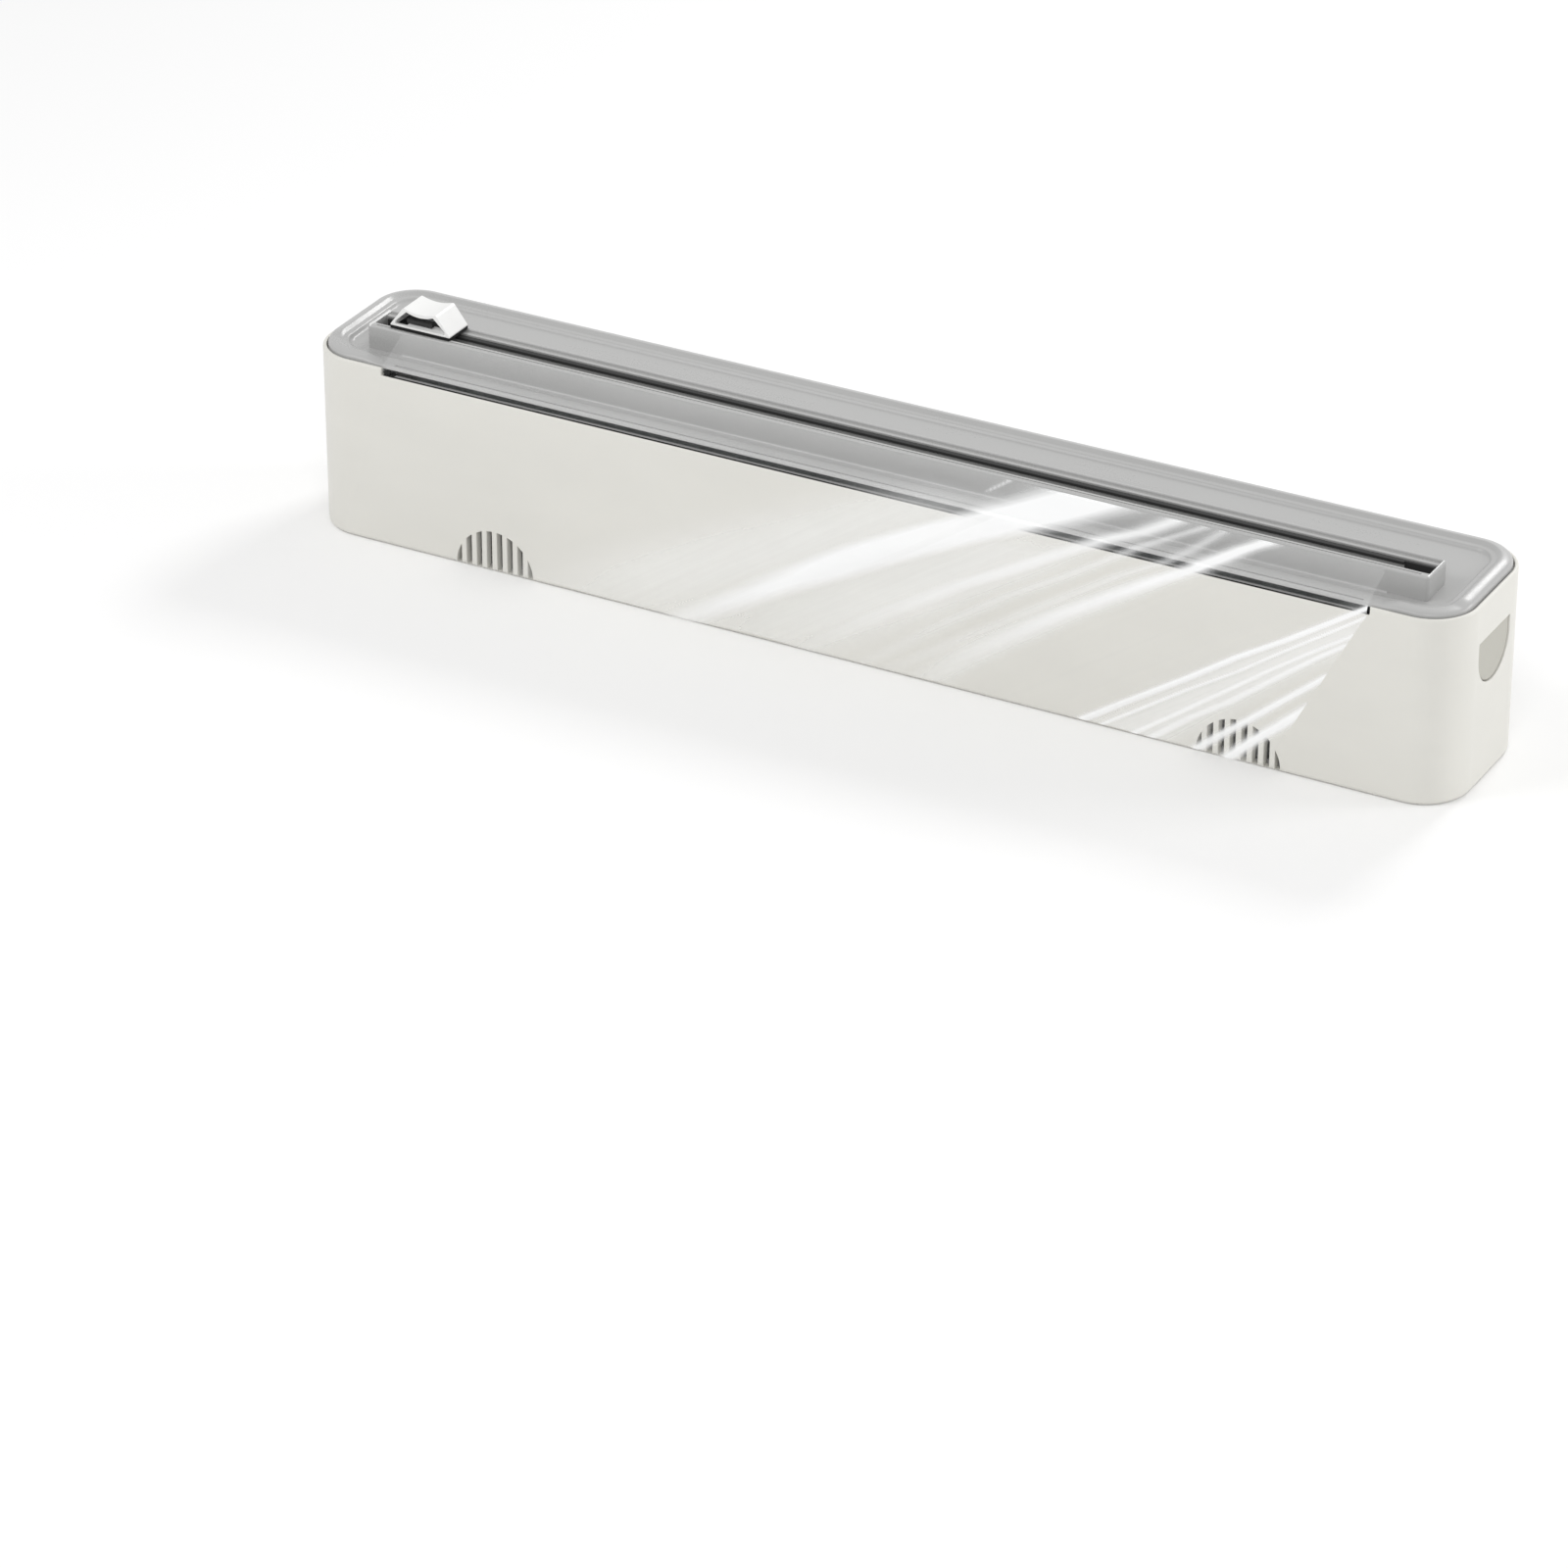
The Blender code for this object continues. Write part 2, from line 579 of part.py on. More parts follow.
def foot_levels():
    """Heights of the T-foot's sole, its shoulder and the underside and top of its head."""
    sole = track_floor() + FIT + 0.0010 + FIT
    shoulder = RAIL_TOP_Z - 0.0012 - 0.0008 - FIT
    head = RAIL_TOP_Z + FIT + SLIDER_SHELL + FIT
    return sole, shoulder, head, head + 0.0013


def build_foot():
    """The dark T-foot: it runs in the track, passes up through the saddle and forks around the blade."""
    x, y = slider_x(), track_middle()
    sole, shoulder, head, top = foot_levels()
    front, ledge, _ = channel_span()
    wide = (ledge - front) / 2 - FIT - 0.0010 - FIT
    stem = min(TRACK_OPENING / 2, (ledge - front) / 2 - FIT - 0.0013) - FIT
    foot = block("slider_foot", (x - 0.006, y - wide, sole), (x + 0.006, y + wide, shoulder), "track_plastic",
                 (x, y, sole))
    fuse(foot, block("foot_stem", (x - 0.0048, y - stem, sole + 0.0002), (x + 0.0048, y + stem, top - 0.0002)),
         block("foot_head", (x - 0.0052, y - stem - 0.0016, head), (x + 0.0030, y + stem + 0.0016, top)))
    gap = BLADE_THICKNESS / 2 + FIT
    carve(foot, block("blade_gap", (x - 0.009, y - gap, shoulder), (x + 0.009, y + gap, top + 0.002)),
          lathe("pin_hole", [(0.0010, y - 0.008), (0.0010, y + 0.008)], "Y", (x, 0.0, pin_height())))
    return foot


def pin_height():
    """Height of the blade's pin, between the track and the saddle's base."""
    return RAIL_TOP_Z - 0.0002


def build_blade():
    """The steel blade: a thin plate with a slanted edge at each end, so it cuts both ways."""
    x, y = slider_x(), track_middle()
    low = foot_levels()[1] + FIT
    mid, top = RAIL_TOP_Z + 0.0008, foot_levels()[3] - 0.0002
    reach = SLIDER_LENGTH / 2 - 0.0024
    outline = [(-0.55 * reach, low), (0.55 * reach, low), (reach, mid), (0.68 * reach, top), (-0.68 * reach, top),
               (-reach, mid)]
    blade = prism("cutter_blade", [(x + a, b) for a, b in outline], "Y", y - BLADE_THICKNESS / 2,
                  y + BLADE_THICKNESS / 2, "blade_steel", (x, y, mid))
    return carve(blade, lathe("blade_hole", [(0.0010, y - 0.004), (0.0010, y + 0.004)], "Y", (x, 0.0, pin_height())))


def build_pin():
    """The pin that holds the blade in the fork."""
    y = track_middle()
    half = TRACK_OPENING / 2 - FIT
    centre = (slider_x(), 0.0, pin_height())
    return lathe("blade_pin", [(0.0007, y - half), (0.0007, y + half)], "Y", centre, "blade_steel",
                 (slider_x(), y, pin_height()))


def build_roll():
    """The film roll on its card core."""
    axis = (0.0, 0.0, ROLL_Z)
    half, inner = ROLL_HALF, CORE_RADIUS + FIT
    edge = min(0.0003, (ROLL_RADIUS - inner) / 4)
    lathe("film_roll", [(inner, -half), (ROLL_RADIUS - edge, -half), (ROLL_RADIUS, -half + edge),
                        (ROLL_RADIUS, half - edge), (ROLL_RADIUS - edge, half), (inner, half)],
          "X", axis, "film_wound", axis, True)
    end = half + CORE_STICKOUT
    lathe("film_core", [(CORE_RADIUS - CORE_WALL, -end), (CORE_RADIUS, -end),
                        (CORE_RADIUS, end), (CORE_RADIUS - CORE_WALL, end)],
          "X", axis, "core_card", axis, True)


def build_plug(side, label):
    """A plug in the core's end: spigot, flange and the journal that turns in the bracket."""
    axis = (0.0, 0.0, ROLL_Z)
    face = ROLL_HALF + CORE_STICKOUT + FIT
    bore, rim = CORE_RADIUS - CORE_WALL - FIT, CORE_RADIUS + PLUG_FLANGE_STEP
    flange, boss = face + PLUG_FLANGE, face + PLUG_FLANGE + PLUG_BOSS
    end = boss + JOURNAL_LENGTH
    profile = [(bore - 2 * FIT, face - PLUG_SPIGOT), (bore, face - 0.9 * PLUG_SPIGOT), (bore, face), (rim, face),
               (rim, flange), (JOURNAL_RADIUS + PLUG_BOSS, flange), (JOURNAL_RADIUS + 0.6 * PLUG_BOSS, boss),
               (JOURNAL_RADIUS, boss), (JOURNAL_RADIUS, end), (JOURNAL_RADIUS - 2 * FIT, end + 2 * FIT)]
    return lathe(f"core_plug_{label}", [(radius, side * along) for radius, along in profile], "X", axis,
                 "grey_plastic", (side * face, 0.0, ROLL_Z))


def build_cup(side, label):
    """A suction cup: thin bell, neck through the pocket's roof and a button head above it."""
    x, y = side * GRILLE_X, CUP_Y
    roof, top = POCKET_Z, POCKET_Z + POCKET_WALL
    r, neck, head = CUP_RADIUS, CUP_NECK_RADIUS, CUP_NECK_RADIUS + 0.8 * CUP_HEAD
    profile = [(0.30 * r, 0.30 * roof), (0.62 * r, 0.20 * roof), (0.85 * r, 0.085 * roof), (0.965 * r, 0.0),
               (r, 0.0), (r, 0.035 * roof), (0.90 * r, 0.14 * roof), (0.66 * r, 0.30 * roof),
               (0.44 * r, 0.46 * roof), (0.38 * r, 0.62 * roof), (0.40 * r, 0.80 * roof), (0.40 * r, roof - FIT),
               (neck, roof - FIT), (neck, top + FIT), (head, top + FIT), (head, top + 0.65 * CUP_HEAD),
               (neck, top + CUP_HEAD)]
    return lathe(f"suction_cup_{label}", profile, "Z", (x, y, 0.0), "cup_vinyl", (x, y, 0.0))


def ribbon(name, path, half_width, columns, lift, drift, finish):
    """A film sheet: a path in (y, z) pushed along X, with its own thickness, a lift off the path and a drift along X."""
    normals = []
    for number in range(len(path)):
        a, b = path[max(number - 1, 0)], path[min(number + 1, len(path) - 1)]
        length = math.hypot(b[0] - a[0], b[1] - a[1])
        normals.append(((a[1] - b[1]) / length, (b[0] - a[0]) / length))
    rings = []
    for column in range(columns + 1):
        x = -half_width + 2 * half_width * column / columns
        near, far = [], []
        for number, ((y, z), (ny, nz)) in enumerate(zip(path, normals)):
            off, along = lift(x, y, z), x + drift(x, y, z)
            near.append((along, y - off + ny * FILM_THICKNESS / 2, z + nz * FILM_THICKNESS / 2))
            far.append((along, y - off - ny * FILM_THICKNESS / 2, z - nz * FILM_THICKNESS / 2))
        rings.append(near + list(reversed(far)))
    return loft_sheet(name, rings, finish)


def loft_sheet(name, rings, finish):
    """Skin sheet sections: both sides are split along the same diagonals, so that they stay parallel."""
    count, last = len(rings[0]), (len(rings) - 1) * len(rings[0])
    points = [point for ring in rings for point in ring]
    faces = []
    for low in range(0, last, count):
        high = low + count
        for near in range(count // 2 - 1):
            far = count - 1 - near
            faces += [(low + near, low + near + 1, high + near + 1), (low + near, high + near + 1, high + near),
                      (low + far, high + far - 1, low + far - 1), (low + far, high + far, high + far - 1)]
        middle = count // 2
        faces += [(low + middle - 1, low + middle, high + middle, high + middle - 1),
                  (low + count - 1, low, high, high + count - 1)]
    for base, turn in ((0, 1), (last, -1)):
        for side in range(count // 2 - 1):
            face = (base + side, base + count - 1 - side, base + count - 2 - side, base + side + 1)
            faces.append(face[::turn])
    return solid(name, points, faces, finish)


def feed_path():
    """The film inside: off the front of the roll and up to the outlet."""
    radius = ROLL_RADIUS + FIT + FILM_THICKNESS / 2
    end = (-INNER_Y + 0.0012, NOTCH_Z)
    span = math.hypot(end[0], end[1] - ROLL_Z)
    touch = math.degrees(math.atan2(end[1] - ROLL_Z, end[0]) + math.acos(min(radius / span, 0.98)))
    return arc((0.0, ROLL_Z), radius, touch + 50, touch, 8) + [end]


def leaf_path():
    """The film outside: out under the lip, up the ramp to the rail, then taut over the lip and down the front."""
    clear = FIT + FILM_THICKNESS / 2
    second = clear + 2 * FILM_THICKNESS
    radius = min(RAMP_RADIUS, RAIL_SETBACK - LID_INSET - 0.0025, RAIL_HEIGHT - 0.0008)
    lip_y = -HALF_DEPTH + LID_INSET
    ramp = (RAIL_FRONT_Y - radius, PANEL_Z + radius)
    front = -HALF_DEPTH - FIT - FILM_THICKNESS / 2
    turn = min(0.0026, PANEL_Z + second - NOTCH_Z)
    path = [(lip_y + 0.0022, (NOTCH_Z + LIP_Z) / 2), (lip_y, (NOTCH_Z + LIP_Z) / 2), (lip_y - clear, LIP_Z)]
    path += arc((lip_y + 0.0010, PANEL_Z - 0.0010), 0.0010 + clear, 180, 90, 3)
    path += arc(ramp, radius - clear, -90, 0, 4)
    fold = RAIL_TOP_Z - 0.0005
    path += arc((RAIL_FRONT_Y - (clear + second) / 2, fold), (second - clear) / 2, 0, 180, 4)
    rim = arc((front + turn, PANEL_Z + second - turn), turn, 116, 180, 4)
    high = (RAIL_FRONT_Y - second, fold)
    path += [tuple(a + (b - a) * step / 4 for a, b in zip(high, rim[0])) for step in range(1, 4)]
    path += rim
    low, high = FILM_HEM, PANEL_Z + second - turn
    path += [(front, high + (low - high) * step / 7) for step in range(1, 8)]
    return path


def leaf_drift(x, y, z):
    """The film is drawn out a little in width; where it hangs it runs to the left, most of all at its right edge."""
    wider = FILM_STRETCH * x
    if y > -HALF_DEPTH - 0.0001:
        return wider
    return wider - (0.25 + 0.27 * (x + ROLL_HALF) / (2 * ROLL_HALF)) * max(NOTCH_Z - z, 0.0)


def leaf_lift(x, y, z):
    """Slanting folds where the film hangs free: nothing at the lip, growing towards the hem."""
    if y > -HALF_DEPTH - 0.0001:
        return 0.0
    drop = min(max((NOTCH_Z - 0.002 - z) / (NOTCH_Z - FILM_HEM), 0.0), 1.0)
    slant = (x - 1.48 * z) / 0.060
    fold = 0.5 + 0.32 * math.sin(2 * math.pi * slant) + 0.18 * math.sin(2 * math.pi * (1.7 * slant + 0.2))
    return drop ** 0.8 * (0.0008 + 0.0036 * fold)


def build_film():
    """The two film sheets: the feed inside and the leaf outside."""
    ribbon("film_feed", feed_path(), ROLL_HALF, 6, lambda x, y, z: 0.0, lambda x, y, z: 0.0, "film_clear")
    ribbon("film_leaf", leaf_path(), ROLL_HALF, 16, leaf_lift, leaf_drift, "film_clear")


def build_part():
    """Build every piece of the dispenser."""
    build_body()
    build_lid()
    build_track()
    build_slider()
    build_foot()
    build_blade()
    build_pin()
    build_roll()
    build_film()
    for side, label in ((-1, "left"), (1, "right")):
        build_cradle(side, label)
        build_button(side, label)
        build_latch(side, label)
        build_plug(side, label)
        build_cup(side, label)


build_part()
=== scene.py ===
"""Finished look of a cling film dispenser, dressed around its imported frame.

Metres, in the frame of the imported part: +X along the box, -Y to the front and +Z up.
"""
from __future__ import annotations

import logging
import math
from contextlib import contextmanager
from dataclasses import dataclass
from enum import Enum
from functools import partial
from typing import Callable, Iterable, Iterator, Protocol, Sequence, Union

import bmesh
import bpy
import numpy as np
from mathutils import Matrix, Vector


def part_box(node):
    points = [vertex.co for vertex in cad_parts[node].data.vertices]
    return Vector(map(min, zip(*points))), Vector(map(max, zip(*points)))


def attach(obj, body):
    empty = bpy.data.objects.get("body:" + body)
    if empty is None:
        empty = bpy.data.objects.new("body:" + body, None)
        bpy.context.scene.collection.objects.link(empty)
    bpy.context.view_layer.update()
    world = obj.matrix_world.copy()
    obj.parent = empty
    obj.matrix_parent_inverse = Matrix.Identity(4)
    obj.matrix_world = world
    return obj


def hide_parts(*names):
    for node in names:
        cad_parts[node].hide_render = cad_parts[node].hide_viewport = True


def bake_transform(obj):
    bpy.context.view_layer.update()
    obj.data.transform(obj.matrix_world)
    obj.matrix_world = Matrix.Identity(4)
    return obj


LOG = logging.getLogger("dispenser")
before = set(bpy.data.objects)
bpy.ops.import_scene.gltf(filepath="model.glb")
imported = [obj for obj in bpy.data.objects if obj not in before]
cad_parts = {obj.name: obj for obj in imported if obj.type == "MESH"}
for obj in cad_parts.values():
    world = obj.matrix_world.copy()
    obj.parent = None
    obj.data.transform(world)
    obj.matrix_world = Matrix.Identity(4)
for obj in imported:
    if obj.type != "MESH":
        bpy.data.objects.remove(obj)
MM = 0.001

# How far a cutter stands over what it cuts, and a step that only keeps two faces apart
OVER = 0.001
HAIR = 0.00001

# Distances below which points are one, and the angle below which faces are one flat face
MERGE_MADE = 1e-7
MERGE_CUT = 2e-6
MERGE_NODE = 1e-6
SLIVER = 1e-6
FLAT_ANGLE = math.radians(0.6)

Pair = tuple[float, float]
Point = tuple[float, float, float]
Ring = list[Point]
Item = bpy.types.Object
Material = bpy.types.Material
Socket = bpy.types.NodeSocket
Value = Union[float, Socket]
Tone = Union[Sequence[float], Socket]


class Body(Enum):
    """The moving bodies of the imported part."""

    BOX = "body"
    LID = "lid"
    CUTTER = "cutter"
    ROLL = "roll"
    LATCH_LEFT = "latch_left"
    LATCH_RIGHT = "latch_right"
    BUTTON_LEFT = "button_left"
    BUTTON_RIGHT = "button_right"


class Slot(Enum):
    """The material slots of the record."""

    WHITE = "white_plastic"
    GREY = "grey_plastic"
    PAD = "pad_plastic"
    TRACK = "track_plastic"
    SLIDER = "slider_plastic"
    STEEL = "blade_steel"
    VINYL = "cup_vinyl"
    CARD = "core_card"
    WOUND = "film_wound"
    CLEAR = "film_clear"


class Operation(Enum):
    """What a helper does to the piece that it meets."""

    JOIN = "UNION"
    CUT = "DIFFERENCE"


class Axis(Enum):
    """The axis that an outline is pushed along or turned about."""

    X = 0
    Y = 1
    Z = 2

    def place(self, a: float, b: float, along: float) -> Point:
        """Put an outline's pair and a distance along this axis into x, y, z."""
        return {Axis.X: (along, a, b), Axis.Y: (a, along, b), Axis.Z: (a, b, along)}[self]


class Side(Enum):
    """The two ends of the box."""

    LEFT = -1
    RIGHT = 1

    @property
    def label(self) -> str:
        """The end's name in the nodes."""
        return self.name.lower()

    def span(self, near: float, far: float) -> Pair:
        """Two distances from the middle as places along x at this end, the lower one first."""
        low, high = sorted((self.value * near, self.value * far))
        return low, high


# Shapes in mesh code


def smooth(share: float) -> float:
    """Ease a share between 0 and 1."""
    share = min(max(share, 0.0), 1.0)
    return share * share * (3.0 - 2.0 * share)


def arc(centre: Pair, radius: float, start: float, end: float, steps: int) -> list[Pair]:
    """Points of an arc from one angle in degrees to another, both ends included."""
    angles = [math.radians(start + (end - start) * step / steps) for step in range(steps + 1)]
    return [(centre[0] + radius * math.cos(a), centre[1] + radius * math.sin(a)) for a in angles]


def rounded_outline(half_x: float, half_y: float, radius: float, centre: Pair = (0.0, 0.0),
                    steps: int = 24, least: float = 0.00005) -> list[Pair]:
    """Points of a rounded rectangle, counter-clockwise.

    Args:
        half_x: Half of its length.
        half_y: Half of its depth.
        radius: Corner radius.
        centre: Its middle.
        steps: Steps per corner.
        least: The smallest radius that a corner gets.

    Returns:
        The outline's points.
    """
    radius = max(radius, least)
    points: list[Pair] = []
    for quarter, (x, y) in enumerate(((1, 1), (-1, 1), (-1, -1), (1, -1))):
        middle = (centre[0] + x * (half_x - radius), centre[1] + y * (half_y - radius))
        points += arc(middle, radius, 90 * quarter, 90 * quarter + 90, steps)
    return points


def eased(corners: Sequence[Pair], radii: Sequence[float], steps: int, most: float = 0.49) -> list[Pair]:
    """Round the corners of a polygon.

    Args:
        corners: The polygon.
        radii: Rounding of each corner; 0 leaves it sharp.
        steps: Steps of each rounding.
        most: The largest share of a side that a rounding takes up.

    Returns:
        The rounded outline.
    """
    outline: list[Pair] = []
    count = len(corners)
    for number, (corner, radius) in enumerate(zip(corners, radii)):
        here = Vector(corner)
        back = Vector(corners[number - 1]) - here
        ahead = Vector(corners[(number + 1) % count]) - here
        if radius <= 0.0:
            outline.append(corner)
            continue
        half = back.angle(ahead) / 2
        reach = min(radius / math.tan(half), most * back.length, most * ahead.length)
        first, last = here + back.normalized() * reach, here + ahead.normalized() * reach
        for step in range(steps + 1):
            t = step / steps
            spot = first * (1 - t) ** 2 + here * 2 * t * (1 - t) + last * t ** 2
            outline.append((spot.x, spot.y))
    return outline


def rounding(radius: float, steps: int) -> list[Pair]:
    """Offsets and depths of a rounded edge, from its wall to its face."""
    angles = [math.pi / 2 * step / steps for step in range(steps + 1)]
    return [(radius - radius * math.cos(a), radius - radius * math.sin(a)) for a in angles]


def link(name: str, data: bpy.types.ID) -> Item:
    """Put new data into the scene.

    Args:
        name: The object's name.
        data: Its mesh, lamp or camera.

    Returns:
        The new object.
    """
    item = bpy.data.objects.new(name, data)
    bpy.context.scene.collection.objects.link(item)
    return item


@contextmanager
def edited(mesh: bpy.types.Mesh) -> Iterator[bmesh.types.BMesh]:
    """Open a mesh for editing, and write it back at the end.

    Args:
        mesh: The mesh.

    Yields:
        Its points and faces, to be changed.
    """
    work = bmesh.new()
    work.from_mesh(mesh)
    yield work
    work.to_mesh(mesh)
    work.free()


def new_item(name: str, points: Iterable[Sequence[float]], faces: Iterable[Sequence[int]]) -> Item:
    """Make a closed object from points and faces, with its faces turned outwards.

    Args:
        name: The object's name.
        points: Its points.
        faces: Its faces.

    Returns:
        The new object, in the scene.
    """
    mesh = bpy.data.meshes.new(name)
    mesh.from_pydata(list(points), [], list(faces))
    with edited(mesh) as work:
        bmesh.ops.remove_doubles(work, verts=work.verts, dist=MERGE_MADE)
        bmesh.ops.recalc_face_normals(work, faces=work.faces)
    return link(name, mesh)


def loft(name: str, rings: Sequence[Ring], loop: bool = False) -> Item:
    """Skin rings of equal count.

    Args:
        name: The object's name.
        rings: The rings, in order.
        loop: Whether the last ring joins the first; the ends are capped otherwise.

    Returns:
        The new object.
    """
    count, total = len(rings[0]), len(rings)
    faces: list[tuple[int, ...]] = []
    if not loop:
        faces = [tuple(reversed(range(count))), tuple(range((total - 1) * count, total * count))]
    for low in range(total if loop else total - 1):
        base, top = low * count, (low + 1) % total * count
        for side in range(count):
            after = (side + 1) % count
            faces.append((base + side, base + after, top + after, top + side))
    return new_item(name, [point for ring in rings for point in ring], faces)


def prism(name: str, outline: Sequence[Pair], axis: Axis, start: float, end: float) -> Item:
    """Push an outline along an axis."""
    return loft(name, [[axis.place(a, b, along) for a, b in outline] for along in (start, end)])


def block(name: str, low: Point, high: Point) -> Item:
    """Make a helper box between two corners."""
    outline = [(low[0], low[1]), (high[0], low[1]), (high[0], high[1]), (low[0], high[1])]
    return prism(name, outline, Axis.Z, low[2], high[2])


def lathe(name: str, profile: Sequence[Pair], axis: Axis, centre: Point, steps: int,
          loop: bool = False) -> Item:
    """Turn (radius, along) pairs about a line.

    Args:
        name: The object's name.
        profile: Radius and distance along the line.
        axis: Direction of the line.
        centre: A point on the line.
        steps: Steps round the line.
        loop: Whether the profile is closed.

    Returns:
        The new object.
    """
    rings = []
    for radius, along in profile:
        ring = []
        for a, b in arc((0.0, 0.0), radius, 0.0, 360.0 - 360.0 / steps, steps - 1):
            offset = axis.place(a, b, along)
            ring.append(tuple(c + o for c, o in zip(centre, offset)))
        rings.append(ring)
    return loft(name, rings, loop)


def mouth_cutter(name: str, outline: Callable[[float], list[Pair]], axis: Axis, inner: float, mouth: float,
                 radius: float, flare: float = 1.12, reach: float = 0.06) -> Item:
    """A cutter that leaves a rounded edge where its hole meets a face.

    Args:
        name: The helper's name.
        outline: The hole's outline for a given growth.
        axis: Direction of the hole.
        inner: Where the hole ends, along the axis.
        mouth: Where the face is, along the axis.
        radius: Rounding of the edge.
        flare: Growth of the cutter outside the face, in roundings.
        reach: How far it stands out there, in roundings.

    Returns:
        The helper.
    """
    turn = 1.0 if mouth > inner else -1.0
    stations = [(0.0, inner)] + [(grow, mouth - turn * depth) for grow, depth in rounding(radius, 6)[:-1]]
    stations.append((radius * flare, mouth + turn * reach * radius))
    return loft(name, [[axis.place(a, b, along) for a, b in outline(grow)] for grow, along in stations])


def boolean(target: Item, operation: Operation, *helpers: Item) -> Item:
    """Cut helpers out of a piece or join them to it; they go in bake().

    Args:
        target: The piece.
        operation: What the helpers do to it.
        helpers: The helpers.

    Returns:
        The piece.
    """
    for helper in helpers:
        step = target.modifiers.new(helper.name, "BOOLEAN")
        step.operation, step.solver, step.object = operation.value, "EXACT", helper
        helper.hide_render = True
    return target


def bake(item: Item) -> Item:
    """Turn a piece's modifiers into plain mesh and delete the helpers that they used.

    Args:
        item: The piece.

    Returns:
        The piece.
    """
    helpers = [step.object for step in item.modifiers if step.type == "BOOLEAN"]
    bpy.context.view_layer.update()
    graph = bpy.context.evaluated_depsgraph_get()
    mesh = bpy.data.meshes.new_from_object(item.evaluated_get(graph), preserve_all_data_layers=True,
                                           depsgraph=graph)
    item.modifiers.clear()
    old, item.data = item.data, mesh
    bpy.data.meshes.remove(old)
    for helper in helpers:
        bpy.data.objects.remove(helper, do_unlink=True)
    return item


def tidy_mesh(item: Item) -> Item:
    """Merge doubled points and clear slivers that cutting leaves behind.

    Args:
        item: The piece.

    Returns:
        The piece.
    """
    with edited(item.data) as work:
        bmesh.ops.remove_doubles(work, verts=work.verts, dist=MERGE_CUT)
        bmesh.ops.dissolve_degenerate(work, dist=SLIVER, edges=work.edges)
    return item


def shade(item: Item, angle: float = 32.0, weight: int = 80) -> Item:
    """Shade a piece smooth, with its flat faces kept flat by weighted normals.

    Args:
        item: The piece.
        angle: Angle in degrees over which an edge is sharp.
        weight: How much more a large face counts than a small one.

    Returns:
        The piece.
    """
    item.data.shade_smooth()
    item.data.set_sharp_from_angle(angle=math.radians(angle))
    step = item.modifiers.new("even_normals", "WEIGHTED_NORMAL")
    step.keep_sharp, step.weight = True, weight
    return bake(item)


def ease_edges(item: Item, width: float, angle: float, segments: int) -> Item:
    """Round the edges of a piece.

    Args:
        item: The piece.
        width: Width of the rounding.
        angle: Angle in degrees over which an edge is rounded.
        segments: Steps of the rounding.

    Returns:
        The piece.
    """
    step = item.modifiers.new("eased_edges", "BEVEL")
    step.width, step.segments, step.limit_method = width, segments, "ANGLE"
    step.angle_limit, step.harden_normals = math.radians(angle), False
    return bake(item)


def node_copy(name: str, node: str) -> Item:
    """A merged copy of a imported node's mesh, with its flat faces made whole.

    Args:
        name: The copy's name.
        node: The node.

    Returns:
        The copy, in the scene.
    """
    item = link(name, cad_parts[node].data.copy())
    item.data.materials.clear()
    with edited(item.data) as work:
        bmesh.ops.remove_doubles(work, verts=work.verts, dist=MERGE_NODE)
        bmesh.ops.dissolve_limit(work, angle_limit=FLAT_ANGLE, verts=work.verts, edges=work.edges)
    return item


# Finishes


